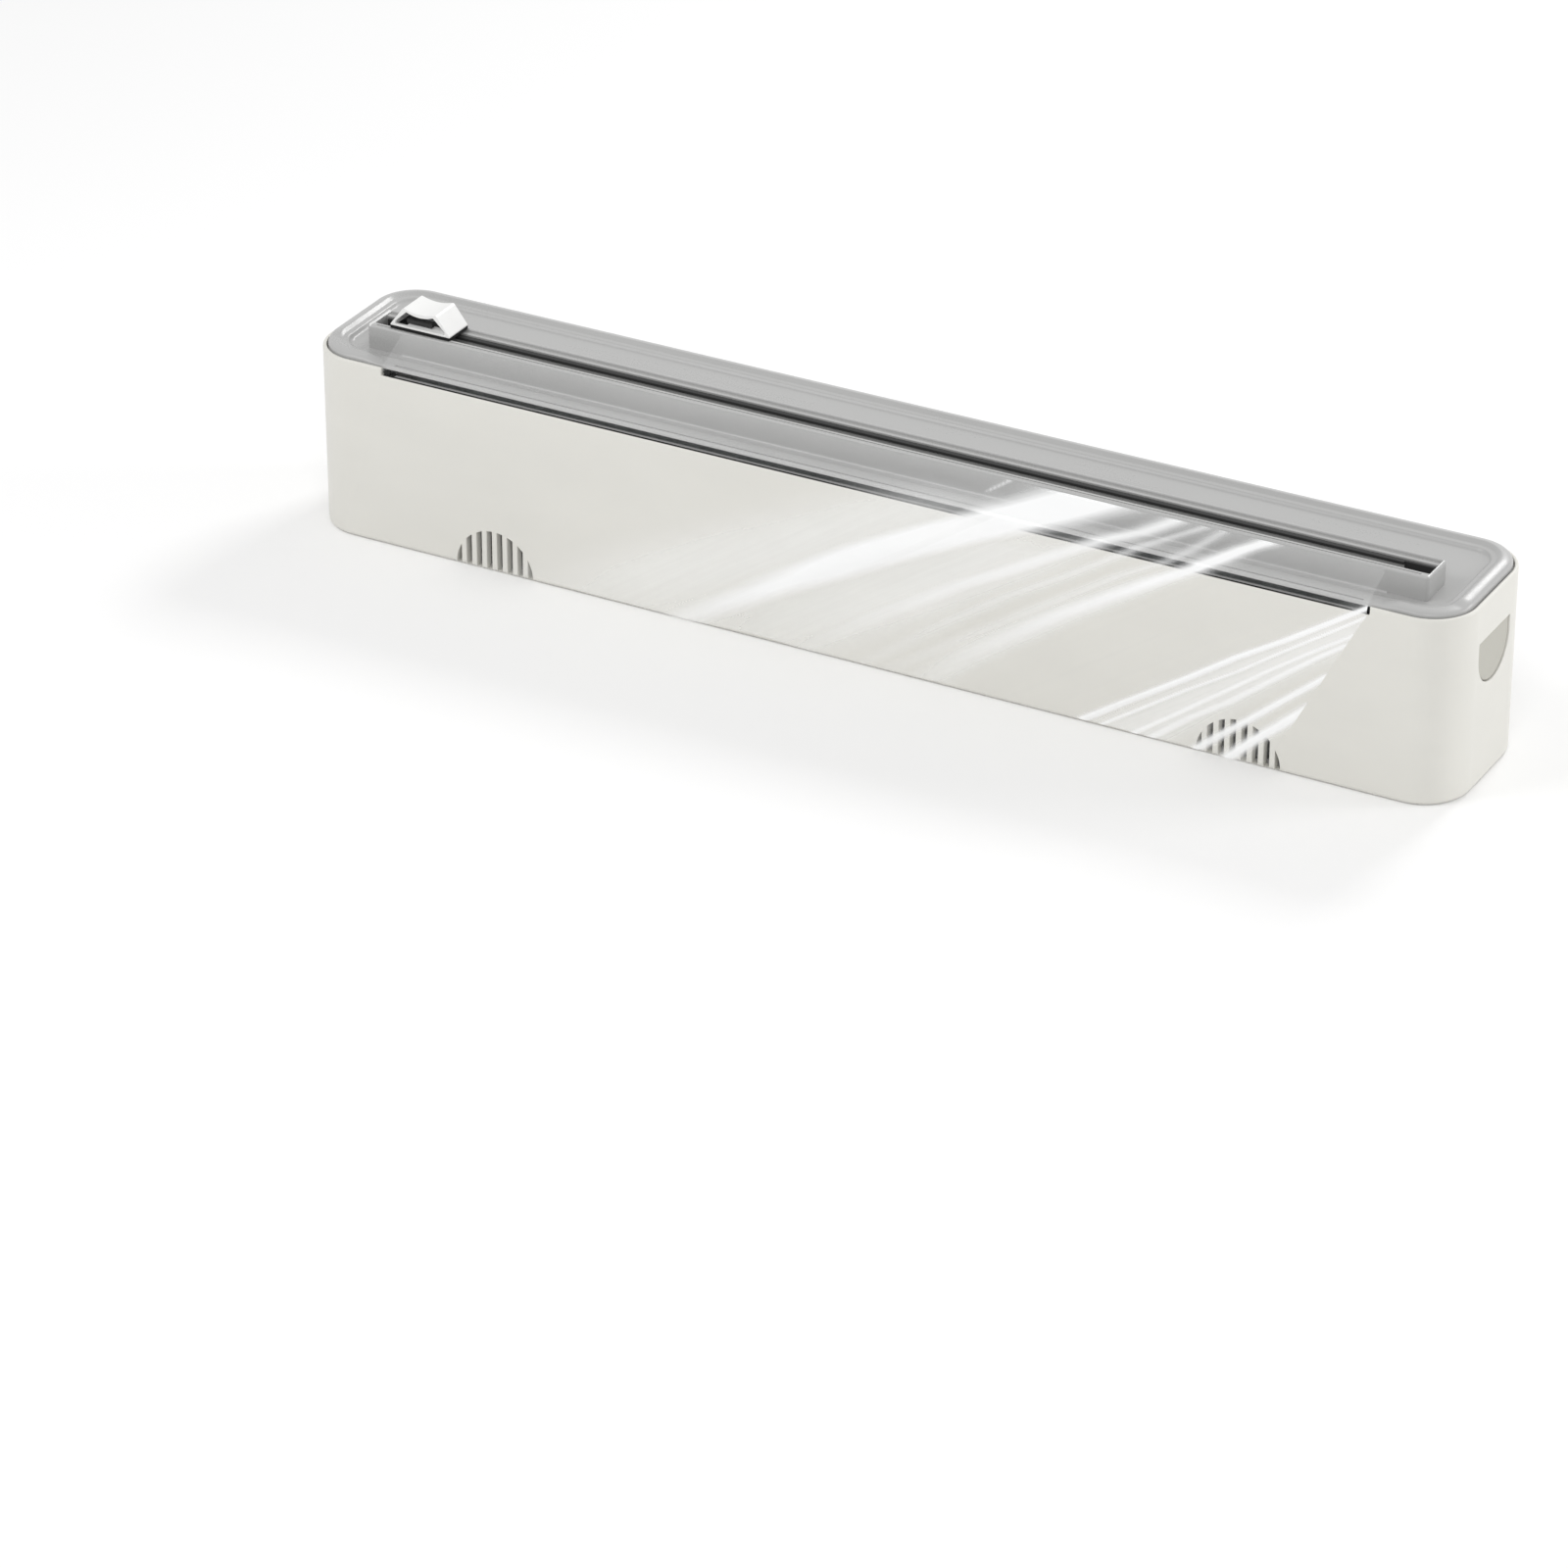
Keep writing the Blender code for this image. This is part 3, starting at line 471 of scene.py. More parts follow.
@dataclass(frozen=True)
class Graph:
    """The nodes of a material or of the surround, written shortly."""

    tree: bpy.types.NodeTree

    def node(self, kind: str, values: dict[str | int, object] | None = None, **options: object) -> bpy.types.Node:
        """Add a node.

        Args:
            kind: The node's type, without its ShaderNode prefix.
            values: Values or sockets for its inputs, by name or number.
            options: Its own settings.

        Returns:
            The node.
        """
        made = self.tree.nodes.new("ShaderNode" + kind)
        for key, value in options.items():
            setattr(made, key, value)
        for key, value in (values or {}).items():
            self.feed(made.inputs[key], value)
        return made

    def feed(self, socket: Socket, value: object) -> None:
        """Set a socket, or link another socket to it.

        Args:
            socket: The socket.
            value: Its value, or the socket that feeds it.
        """
        if isinstance(value, bpy.types.NodeSocket):
            self.tree.links.new(value, socket)
        else:
            socket.default_value = value

    def place(self, scale: Sequence[float] = (1.0, 1.0, 1.0)) -> Socket:
        """Object coordinates through a Mapping node."""
        source = self.node("TexCoord").outputs["Object"]
        return self.node("Mapping", {"Vector": source, "Scale": scale}).outputs["Vector"]

    def attribute(self, name: str) -> Socket:
        """A value that the mesh holds at each point."""
        return self.node("Attribute", attribute_name=name).outputs["Fac"]

    def noise(self, vector: Socket, scale: float, detail: float, roughness: float = 0.55) -> Socket:
        """A noise value on a vector."""
        values = {"Vector": vector, "Scale": scale, "Detail": detail, "Roughness": roughness}
        return self.node("TexNoise", values).outputs[0]

    def span(self, value: Value, low: float, high: float, start: float = 0.3, end: float = 0.7) -> Socket:
        """Stretch a value's middle range to low..high."""
        values = {"Value": value, "From Min": start, "From Max": end, "To Min": low, "To Max": high}
        return self.node("MapRange", values).outputs["Result"]

    def math(self, operation: str, a: Value, b: Value, clamp: bool = False) -> Socket:
        """Combine two values; a clamped result stays between 0 and 1."""
        return self.node("Math", {0: a, 1: b}, operation=operation, use_clamp=clamp).outputs[0]

    def mix(self, factor: Value, a: Tone, b: Tone) -> Socket:
        """Mix two colours by the share of the second one; a Mix node's colours are its inputs 6 and 7."""
        return self.node("Mix", {0: factor, 6: a, 7: b}, data_type="RGBA").outputs[2]

    def tones(self, value: Value, colour: Sequence[float], shades: Pair) -> Socket:
        """A colour that goes from one shade of itself to another as a value rises."""
        return self.mix(self.span(value, 0.0, 1.0), shifted(colour, shades[0]), shifted(colour, shades[1]))

    def bump(self, height: Socket, distance: float, strength: float, below: Socket | None = None) -> Socket:
        """The normal of a bump, with its size in metres, on top of the bump below it."""
        values = {"Height": height, "Distance": distance, "Strength": strength}
        return self.node("Bump", values | ({} if below is None else {"Normal": below})).outputs["Normal"]


def shifted(colour: Sequence[float], factor: float) -> tuple[float, float, float, float]:
    """A colour made darker or lighter."""
    red, green, blue = (min(channel * factor, 1.0) for channel in colour[:3])
    return red, green, blue, 1.0


@dataclass(frozen=True)
class Finish:
    """A finish: a name, and what it feeds to the shader."""

    name: str

    def inputs(self, graph: Graph) -> dict[str, object]:
        """What the finish feeds to the shader's inputs."""
        raise NotImplementedError(self.name)

    def material(self) -> Material:
        """Build the material.

        Returns:
            The material.
        """
        material = bpy.data.materials.new(self.name)
        material.use_nodes = True
        graph, shader = Graph(material.node_tree), material.node_tree.nodes["Principled BSDF"]
        for key, value in self.inputs(graph).items():
            graph.feed(shader.inputs[key], value)
        return material


@dataclass(frozen=True)
class MouldedPlastic(Finish):
    """Injection moulded plastic: spark-eroded grain, faint flow marks and uneven gloss."""

    colour: Point
    roughness: float
    grain: float = 12e-6
    specular: float = 0.5
    grain_scale: float = 2600.0
    grain_gloss: float = 0.03
    grain_strength: float = 0.6
    mottle: float = 0.018
    gloss_spread: float = 0.05
    flow: Point = (1.0, 3.0, 3.0)
    flow_scale: float = 22.0
    flow_depth: float = 8e-5
    flow_strength: float = 0.25

    def inputs(self, graph: Graph) -> dict[str, object]:
        """Grain and flow marks over an even colour.

        Args:
            graph: The material's nodes.

        Returns:
            The shader's inputs.
        """
        grain = graph.noise(graph.place(), self.grain_scale, 2.0)
        flow = graph.noise(graph.place(self.flow), self.flow_scale, 4.0)
        gloss = graph.span(flow, self.roughness - self.gloss_spread, self.roughness + self.gloss_spread)
        marks = graph.bump(flow, self.flow_depth, self.flow_strength)
        return {
            "Base Color": graph.tones(flow, self.colour, (1.0 - self.mottle, 1.0 + self.mottle)),
            "Roughness": graph.math("ADD", gloss, graph.span(grain, -self.grain_gloss, self.grain_gloss)),
            "Normal": graph.bump(grain, self.grain, self.grain_strength, marks),
            "Specular IOR Level": self.specular,
        }


@dataclass(frozen=True)
class GroundSteel(Finish):
    """Ground blade steel with fine lines across its edge."""

    colour: Point = (0.62, 0.63, 0.64)
    shades: Pair = (0.9, 1.08)
    gloss: Pair = (0.16, 0.34)
    grind: Point = (6.0, 1.0, 0.4)
    grind_scale: float = 900.0
    grind_depth: float = 4e-6
    grind_strength: float = 0.6

    def inputs(self, graph: Graph) -> dict[str, object]:
        """Grinding lines over bare metal.

        Args:
            graph: The material's nodes.

        Returns:
            The shader's inputs.
        """
        lines = graph.noise(graph.place(self.grind), self.grind_scale, 3.0)
        return {
            "Base Color": graph.tones(lines, self.colour, self.shades),
            "Roughness": graph.span(lines, *self.gloss),
            "Normal": graph.bump(lines, self.grind_depth, self.grind_strength),
            "Metallic": 1.0,
        }


@dataclass(frozen=True)
class WoundCard(Finish):
    """Brown card, wound in a spiral with thin seams and short fibres."""

    colour: Point = (0.42, 0.30, 0.18)
    shades: Pair = (0.78, 1.18)
    cloud_shade: float = 0.9
    cloud_share: float = 0.35
    cloud_scale: float = 60.0
    seam_shade: float = 0.45
    seam: float = 0.02
    pitch: float = 0.055
    axis_height: float = 0.034
    gloss: Pair = (0.78, 0.95)
    fibre: Point = (1.0, 2.5, 2.5)
    fibre_scale: float = 700.0
    fibre_depth: float = 4e-5
    fibre_strength: float = 0.7

    def inputs(self, graph: Graph) -> dict[str, object]:
        """Fibres and clouds, with a dark seam that winds round the core.

        Args:
            graph: The material's nodes.

        Returns:
            The shader's inputs.
        """
        fibres = graph.noise(graph.place(self.fibre), self.fibre_scale, 5.0)
        clouds = graph.noise(graph.place(), self.cloud_scale, 3.0)
        spot = graph.node("SeparateXYZ", {"Vector": graph.place()}).outputs
        turn = graph.math("ARCTAN2", spot["Y"], graph.math("SUBTRACT", spot["Z"], self.axis_height))
        along = graph.math("ADD", graph.math("DIVIDE", spot["X"], self.pitch),
                           graph.math("DIVIDE", turn, 2 * math.pi))
        seam = graph.span(graph.math("FRACT", along, 0.0), 0.0, 1.0, 0.0, self.seam)
        tone = graph.tones(fibres, self.colour, self.shades)
        tone = graph.mix(graph.span(clouds, 0.0, self.cloud_share), tone, shifted(self.colour, self.cloud_shade))
        return {
            "Base Color": graph.mix(seam, shifted(self.colour, self.seam_shade), tone),
            "Roughness": graph.span(fibres, *self.gloss),
            "Normal": graph.bump(fibres, self.fibre_depth, self.fibre_strength),
        }


@dataclass(frozen=True)
class WoundFilm(Finish):
    """Many layers of clear film: pale and glossy, with drawn lines round it and layer lines on its ends."""

    colour: Point = (0.72, 0.77, 0.78)
    shades: Pair = (0.88, 1.1)
    gloss: Pair = (0.08, 0.24)
    band: Point = (1.0, 0.02, 0.02)
    band_scale: float = 160.0
    band_depth: float = 5e-5
    ripple: Point = (0.25, 1.0, 1.0)
    ripple_scale: float = 90.0
    ripple_depth: float = 1.2e-4
    relief: float = 0.5
    coat: float = 0.4
    coat_roughness: float = 0.08

    def inputs(self, graph: Graph) -> dict[str, object]:
        """Bands round the roll, over slow ripples.

        Args:
            graph: The material's nodes.

        Returns:
            The shader's inputs.
        """
        bands = graph.noise(graph.place(self.band), self.band_scale, 5.0, 0.65)
        ripples = graph.noise(graph.place(self.ripple), self.ripple_scale, 3.0)
        drawn = graph.bump(bands, self.band_depth, self.relief)
        return {
            "Base Color": graph.tones(bands, self.colour, self.shades),
            "Roughness": graph.span(bands, *self.gloss),
            "Normal": graph.bump(ripples, self.ripple_depth, self.relief, drawn),
            "Coat Weight": self.coat,
            "Coat Roughness": self.coat_roughness,
        }


@dataclass(frozen=True)
class ClearVinyl(Finish):
    """Soft clear vinyl, a little cloudy, made dark to paint the shade of the pocket behind the grille."""

    # The dark colour is painted shade: it makes the pocket behind the grille read dark through the slots.
    colour: Point = (0.17, 0.175, 0.17)
    shades: Pair = (0.92, 1.06)
    gloss: Pair = (0.16, 0.34)
    cloud_scale: float = 260.0
    cloud_depth: float = 3e-5
    cloud_strength: float = 0.4
    clearness: float = 0.45
    index: float = 1.52

    def inputs(self, graph: Graph) -> dict[str, object]:
        """Clouds in a half-clear body.

        Args:
            graph: The material's nodes.

        Returns:
            The shader's inputs.
        """
        cloud = graph.noise(graph.place(), self.cloud_scale, 4.0)
        return {
            "Base Color": graph.tones(cloud, self.colour, self.shades),
            "Roughness": graph.span(cloud, *self.gloss),
            "Normal": graph.bump(cloud, self.cloud_depth, self.cloud_strength),
            "Transmission Weight": self.clearness,
            "IOR": self.index,
        }


@dataclass(frozen=True)
class ClearFilm(Finish):
    """Clear cling film: almost nothing where it lies flat, with painted glints along its folds and painted sheen."""

    colour: Point = (0.95, 0.955, 0.955)
    shades: Pair = (0.985, 1.0)
    gloss: Pair = (0.08, 0.2)
    haze: Pair = (0.0072, 0.0168)
    cloud_scale: float = 70.0
    stretch: Point = (34.0, 1.6, 1.0)
    line_scale: float = 3.2
    line_depth: float = 6e-5
    line_strength: float = 0.35
    line_range: Pair = (0.48, 0.78)
    line_white: float = 0.10
    crease_range: Pair = (0.90, 1.10)

    def inputs(self, graph: Graph) -> dict[str, object]:
        """Painted glints along the folds, painted sheen on fine lines and the taut part, over faint cloudiness.

        Args:
            graph: The material's nodes.

        Returns:
            The shader's inputs.
        """
        drawn = graph.node("UVMap", uv_map="drawn").outputs["UV"]
        wide = graph.node("Mapping", {"Vector": drawn, "Scale": self.stretch}).outputs["Vector"]
        lines = graph.noise(wide, self.line_scale, 4.0, 0.62)
        cloud = graph.noise(graph.place(), self.cloud_scale, 3.0)
        # The film's white is painted light: glints along its folds, sheen on fine lines and on the taut part.
        crease, veil, haze = (graph.attribute(name) for name in ("crease", "veil", "haze"))
        fine = graph.math("MULTIPLY", graph.span(lines, 0.0, 1.0, *self.line_range), veil)
        glint_lines = graph.math("MULTIPLY", crease, graph.span(lines, *self.crease_range))
        white = graph.math("ADD", graph.math("ADD", haze, glint_lines), graph.math("MULTIPLY", fine, self.line_white))
        return {
            "Base Color": graph.tones(cloud, self.colour, self.shades),
            "Alpha": graph.math("ADD", white, graph.span(cloud, *self.haze), True),
            "Roughness": graph.span(lines, *self.gloss),
            "Normal": graph.bump(lines, self.line_depth, self.line_strength),
        }


@dataclass(frozen=True)
class PaleFloor(Finish):
    """A dull pale floor."""

    tone: float = 0.96
    shades: Pair = (0.995, 1.0)
    roughness: float = 0.9
    cloud_scale: float = 3.0

    def inputs(self, graph: Graph) -> dict[str, object]:
        """An almost even tone without gloss.

        Args:
            graph: The material's nodes.

        Returns:
            The shader's inputs.
        """
        soft = graph.noise(graph.place(), self.cloud_scale, 2.0)
        return {
            "Base Color": graph.tones(soft, (self.tone,) * 3, self.shades),
            "Roughness": self.roughness,
            "Specular IOR Level": 0.0,
        }


# Pieces


@dataclass
class Piece:
    """A finished piece, the body that it rides on and the nodes that it stands for."""

    item: Item
    body: Body
    slot: Slot
    nodes: tuple[str, ...] = ()

    def place(self, finish: Material, ride: bool = True) -> Piece:
        """Dress the piece and fit it into the frame.

        Args:
            finish: Its material.
            ride: Whether it rides on its body.

        Returns:
            The piece.
        """
        self.item.data.materials.clear()
        self.item.data.materials.append(finish)
        if ride:
            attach(self.item, self.body.value)
        if self.nodes:
            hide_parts(*self.nodes)
        return self


class SubAssembly(Protocol):
    """What every sub-assembly can do."""

    def build(self) -> list[Piece]:
        """Build its pieces and dress them."""


@dataclass(frozen=True)
class Copy:
    """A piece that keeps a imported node's shape, with its edges rounded."""

    name: str
    node: str
    width: float
    angle: float
    segments: int

    def build(self, body: Body, slot: Slot, finish: Material) -> Piece:
        """Copy the node, round its edges and dress it."""
        item = ease_edges(node_copy(self.name, self.node), self.width, self.angle, self.segments)
        return Piece(shade(item), body, slot, (self.node,)).place(finish)


@dataclass
class Plan:
    """The box's plan, which the lid and the rim share."""

    half_length: float
    half_depth: float
    height: float
    corner: float = 0.014
    corner_steps: int = 24
    wall: float = 0.0024
    rim: float = 0.0011
    rim_step: float = 0.0020
    fit: float = 0.0003
    panel_rise: float = 0.0004
    outlet_half: float = 0.1525
    outlet_margin: float = 0.001
    notch: float = 0.0022
    ridge_fade: float = 0.0065
    fade_points: int = 11

    @classmethod
    def from_frame(cls) -> Plan:
        """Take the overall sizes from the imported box."""
        _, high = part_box("body_shell")
        return cls(high.x, high.y, high.z)

    @property
    def inner_length(self) -> float:
        """Half of the room's length."""
        return self.half_length - self.wall

    @property
    def inner_depth(self) -> float:
        """Half of the room's depth."""
        return self.half_depth - self.wall

    @property
    def ledge(self) -> float:
        """Height of the ledge that carries the lid."""
        return self.height - self.rim_step

    @property
    def panel(self) -> float:
        """Height of the lid's panel."""
        return self.height + self.panel_rise

    @property
    def notch_floor(self) -> float:
        """Height of the outlet's floor."""
        return self.height - self.notch

    def outline(self, inset: float) -> list[Pair]:
        """The plan's outline, with extra points beside the film outlet.

        Args:
            inset: How far it is moved inwards.

        Returns:
            The outline.
        """
        points = rounded_outline(self.half_length - inset, self.half_depth - inset, self.corner - inset,
                                 steps=self.corner_steps)
        right = [(self.outlet_half + self.outlet_margin + self.ridge_fade * t, -self.half_depth + inset)
                 for t in np.linspace(0, 1, self.fade_points)]
        middle = 3 * (self.corner_steps + 1)
        return points[:middle] + [(-x, y) for x, y in reversed(right)] + right + points[middle:]

    def ring(self, inset: float, height: float) -> Ring:
        """One level ring of the plan."""
        return [(x, y, height) for x, y in self.outline(inset)]


@dataclass(frozen=True)
class CupPocket:
    """The pocket behind a grille, which the box and its suction cup share.

    Its housing starts at a share of the floor's thickness, root, and a little inside the front wall, front_root.
    """

    x: float = 0.1163
    y: float = -0.0101
    radius: float = 0.0130
    height: float = 0.0132
    wall: float = 0.0019
    neck: float = 0.0029
    root: float = 0.4
    front_root: float = 0.0004
    roof_ease: Pair = (0.00018, 0.0006)

    @property
    def top(self) -> float:
        """Height of the housing's top."""
        return self.height + self.wall

    def outline(self, side: Side, grow: float, front: float) -> list[Pair]:
        """Its plan: straight from the front wall, then half round.

        Args:
            side: The end that it is at.
            grow: How far it is moved outwards.
            front: Where it starts, in y.

        Returns:
            The outline.
        """
        x, radius = side.value * self.x, self.radius + grow
        back = [(x + a, b) for a, b in arc((0.0, self.y), radius, 0.0, 180.0, 40)]
        return back + [(x - radius, front), (x + radius, front)]

    def housing(self, side: Side, plan: Plan) -> Item:
        """The housing that stands on the box's floor.

        Args:
            side: The end that it is at.
            plan: The box's plan.

        Returns:
            The helper.
        """
        near, far = self.roof_ease
        rows = [(self.wall, self.root * plan.wall), (self.wall, self.top - far),
                (self.wall - near, self.top - near), (self.wall - far, self.top)]
        front = -plan.inner_depth - self.front_root
        return loft(f"pocket_{side.label}", [[(x, y, z) for x, y in self.outline(side, grow, front)]
                                             for grow, z in rows])

    def cutters(self, side: Side, plan: Plan) -> list[Item]:
        """The hollow for the cup and the hole for its neck.

        Args:
            side: The end that they are at.
            plan: The box's plan.

        Returns:
            The helpers.
        """
        hollow = prism(f"pocket_room_{side.label}", self.outline(side, 0.0, -plan.inner_depth), Axis.Z,
                       -2 * OVER, self.height)
        hole = [(self.neck, self.height - 2 * OVER), (self.neck, self.top + 2 * OVER)]
        return [hollow, lathe(f"neck_{side.label}", hole, Axis.Z, (side.value * self.x, self.y, 0.0), 48)]


@dataclass(frozen=True)
class PadShape:
    """The D shape of the end pads in (y, z), which their windows share."""

    width: float = 0.0205
    height: float = 0.01465
    drop: float = 0.0116
    tip: float = 0.0004
    tip_cut: float = 0.3

    def outline(self, rim: float, grow: float) -> list[Pair]:
        """Its outline: flat on top, with short straight sides and a half-round foot.

        Args:
            rim: Height of the box's rim.
            grow: How far it is moved outwards.

        Returns:
            The outline.
        """
        half, top = self.width / 2, rim - self.drop
        foot = arc((0.0, top - (self.height - half)), half + grow, 180.0, 360.0, 48)
        right = [(half + grow, top + grow - self.tip),
                 (half + grow - self.tip_cut * self.tip, top + grow - self.tip_cut * self.tip),
                 (half + grow - self.tip, top + grow)]
        return right + [(-y, z) for y, z in reversed(right)] + foot


@dataclass(frozen=True)
class Grille:
    """Upright slots that fill a half round, made with Geometry Nodes.

    The half round that trims them ends a little before the slots inside and a little past the front face: trim.
    """

    radius: float = 0.0126
    slots: int = 8
    width: float = 0.0017
    sill: float = 0.0006
    edge: float = 0.00022
    trim: Pair = (0.0001, 0.00002)

    @property
    def pitch(self) -> float:
        """Distance from slot to slot."""
        return (2 * self.radius - self.width) / (self.slots - 1)

    def tree(self) -> bpy.types.NodeTree:
        """Build the node group: one slot repeated along a line and trimmed by the half round.

        Returns:
            The node group.
        """
        group = bpy.data.node_groups.new("grille_slots", "GeometryNodeTree")
        for name, kind in (("Count", "Int"), ("Pitch", "Float"), ("Middle", "Float"), ("Slot", "Object"),
                           ("Half Round", "Object"), ("Finish", "Material")):
            group.interface.new_socket(name=name, in_out="INPUT", socket_type="NodeSocket" + kind)
        group.interface.new_socket(name="Geometry", in_out="OUTPUT", socket_type="NodeSocketGeometry")
        nodes = {label: group.nodes.new(kind) for label, kind in (
            ("given", "NodeGroupInput"), ("out", "NodeGroupOutput"), ("line", "GeometryNodeMeshLine"),
            ("start", "ShaderNodeCombineXYZ"), ("step", "ShaderNodeCombineXYZ"), ("reach", "ShaderNodeMath"),
            ("less", "ShaderNodeMath"), ("first", "ShaderNodeMath"), ("slot", "GeometryNodeObjectInfo"),
            ("disc", "GeometryNodeObjectInfo"), ("scatter", "GeometryNodeInstanceOnPoints"),
            ("real", "GeometryNodeRealizeInstances"), ("trim", "GeometryNodeMeshBoolean"),
            ("whole", "GeometryNodeRealizeInstances"), ("finish", "GeometryNodeSetMaterial"))}
        nodes["trim"].solver = "EXACT"
        for label, operation in (("trim", "INTERSECT"), ("reach", "MULTIPLY"), ("less", "SUBTRACT"),
                                 ("first", "MULTIPLY_ADD")):
            nodes[label].operation = operation
        nodes["less"].inputs[1].default_value = 1.0
        nodes["first"].inputs[1].default_value = -0.5
        for source, given, target, taken in (
                ("given", "Count", "line", "Count"), ("given", "Count", "less", 0), ("less", 0, "reach", 0),
                ("given", "Pitch", "reach", 1), ("reach", 0, "first", 0), ("given", "Middle", "first", 2),
                ("first", 0, "start", "X"), ("given", "Pitch", "step", "X"),
                ("start", 0, "line", "Start Location"), ("step", 0, "line", "Offset"),
                ("given", "Slot", "slot", "Object"), ("given", "Half Round", "disc", "Object"),
                ("line", "Mesh", "scatter", "Points"), ("slot", "Geometry", "scatter", "Instance"),
                ("scatter", "Instances", "real", "Geometry"), ("real", "Geometry", "trim", "Mesh 2"),
                ("disc", "Geometry", "trim", "Mesh 2"), ("trim", "Mesh", "whole", "Geometry"),
                ("whole", "Geometry", "finish", "Geometry"), ("given", "Finish", "finish", "Material"),
                ("finish", "Geometry", "out", "Geometry")):
            group.links.new(nodes[source].outputs[given], nodes[target].inputs[taken])
        return group

    def cutter(self, name: str, middle: float, inner: float, face: float, finish: Material) -> Item:
        """The cutter of one grille.

        Args:
            name: The helper's name.
            middle: The grille's middle in x.
            inner: Where the slots end, in y.
            face: Where the front face is, in y.
            finish: Material of the slots' walls.

        Returns:
            The helper, as plain mesh.
        """
        half, low, high = self.width / 2, self.sill, self.radius + 2 * OVER

        def slot_outline(grow: float) -> list[Pair]:
            """One slot, grown to both sides."""
            side = half + grow
            return [(-side, low - OVER), (side, low - OVER), (side, high), (-side, high)]

        def disc_outline(grow: float) -> list[Pair]:
            """The half round over the sill, grown outwards."""
            start = math.degrees(math.asin((low - grow) / (self.radius + grow)))
            return [(middle + a, b) for a, b in arc((0.0, 0.0), self.radius + grow, start, 180.0 - start, 60)]

        slot = mouth_cutter(f"{name}_slot", slot_outline, Axis.Y, inner, face, self.edge)
        disc = mouth_cutter(f"{name}_disc", disc_outline, Axis.Y, inner + self.trim[0], face - self.trim[1],
                            self.edge)
        holder = new_item(name, [(0.0, 0.0, 0.0)], [])
        step = holder.modifiers.new("grille", "NODES")
        step.node_group = self.tree()
        given = {"Count": self.slots, "Pitch": self.pitch, "Middle": middle, "Slot": slot, "Half Round": disc,
                 "Finish": finish}
        for socket in step.node_group.interface.items_tree:
            if socket.in_out == "INPUT":
                step[socket.identifier] = given[socket.name]
        bake(holder)
        for helper in (slot, disc):
            bpy.data.objects.remove(helper, do_unlink=True)
        return holder


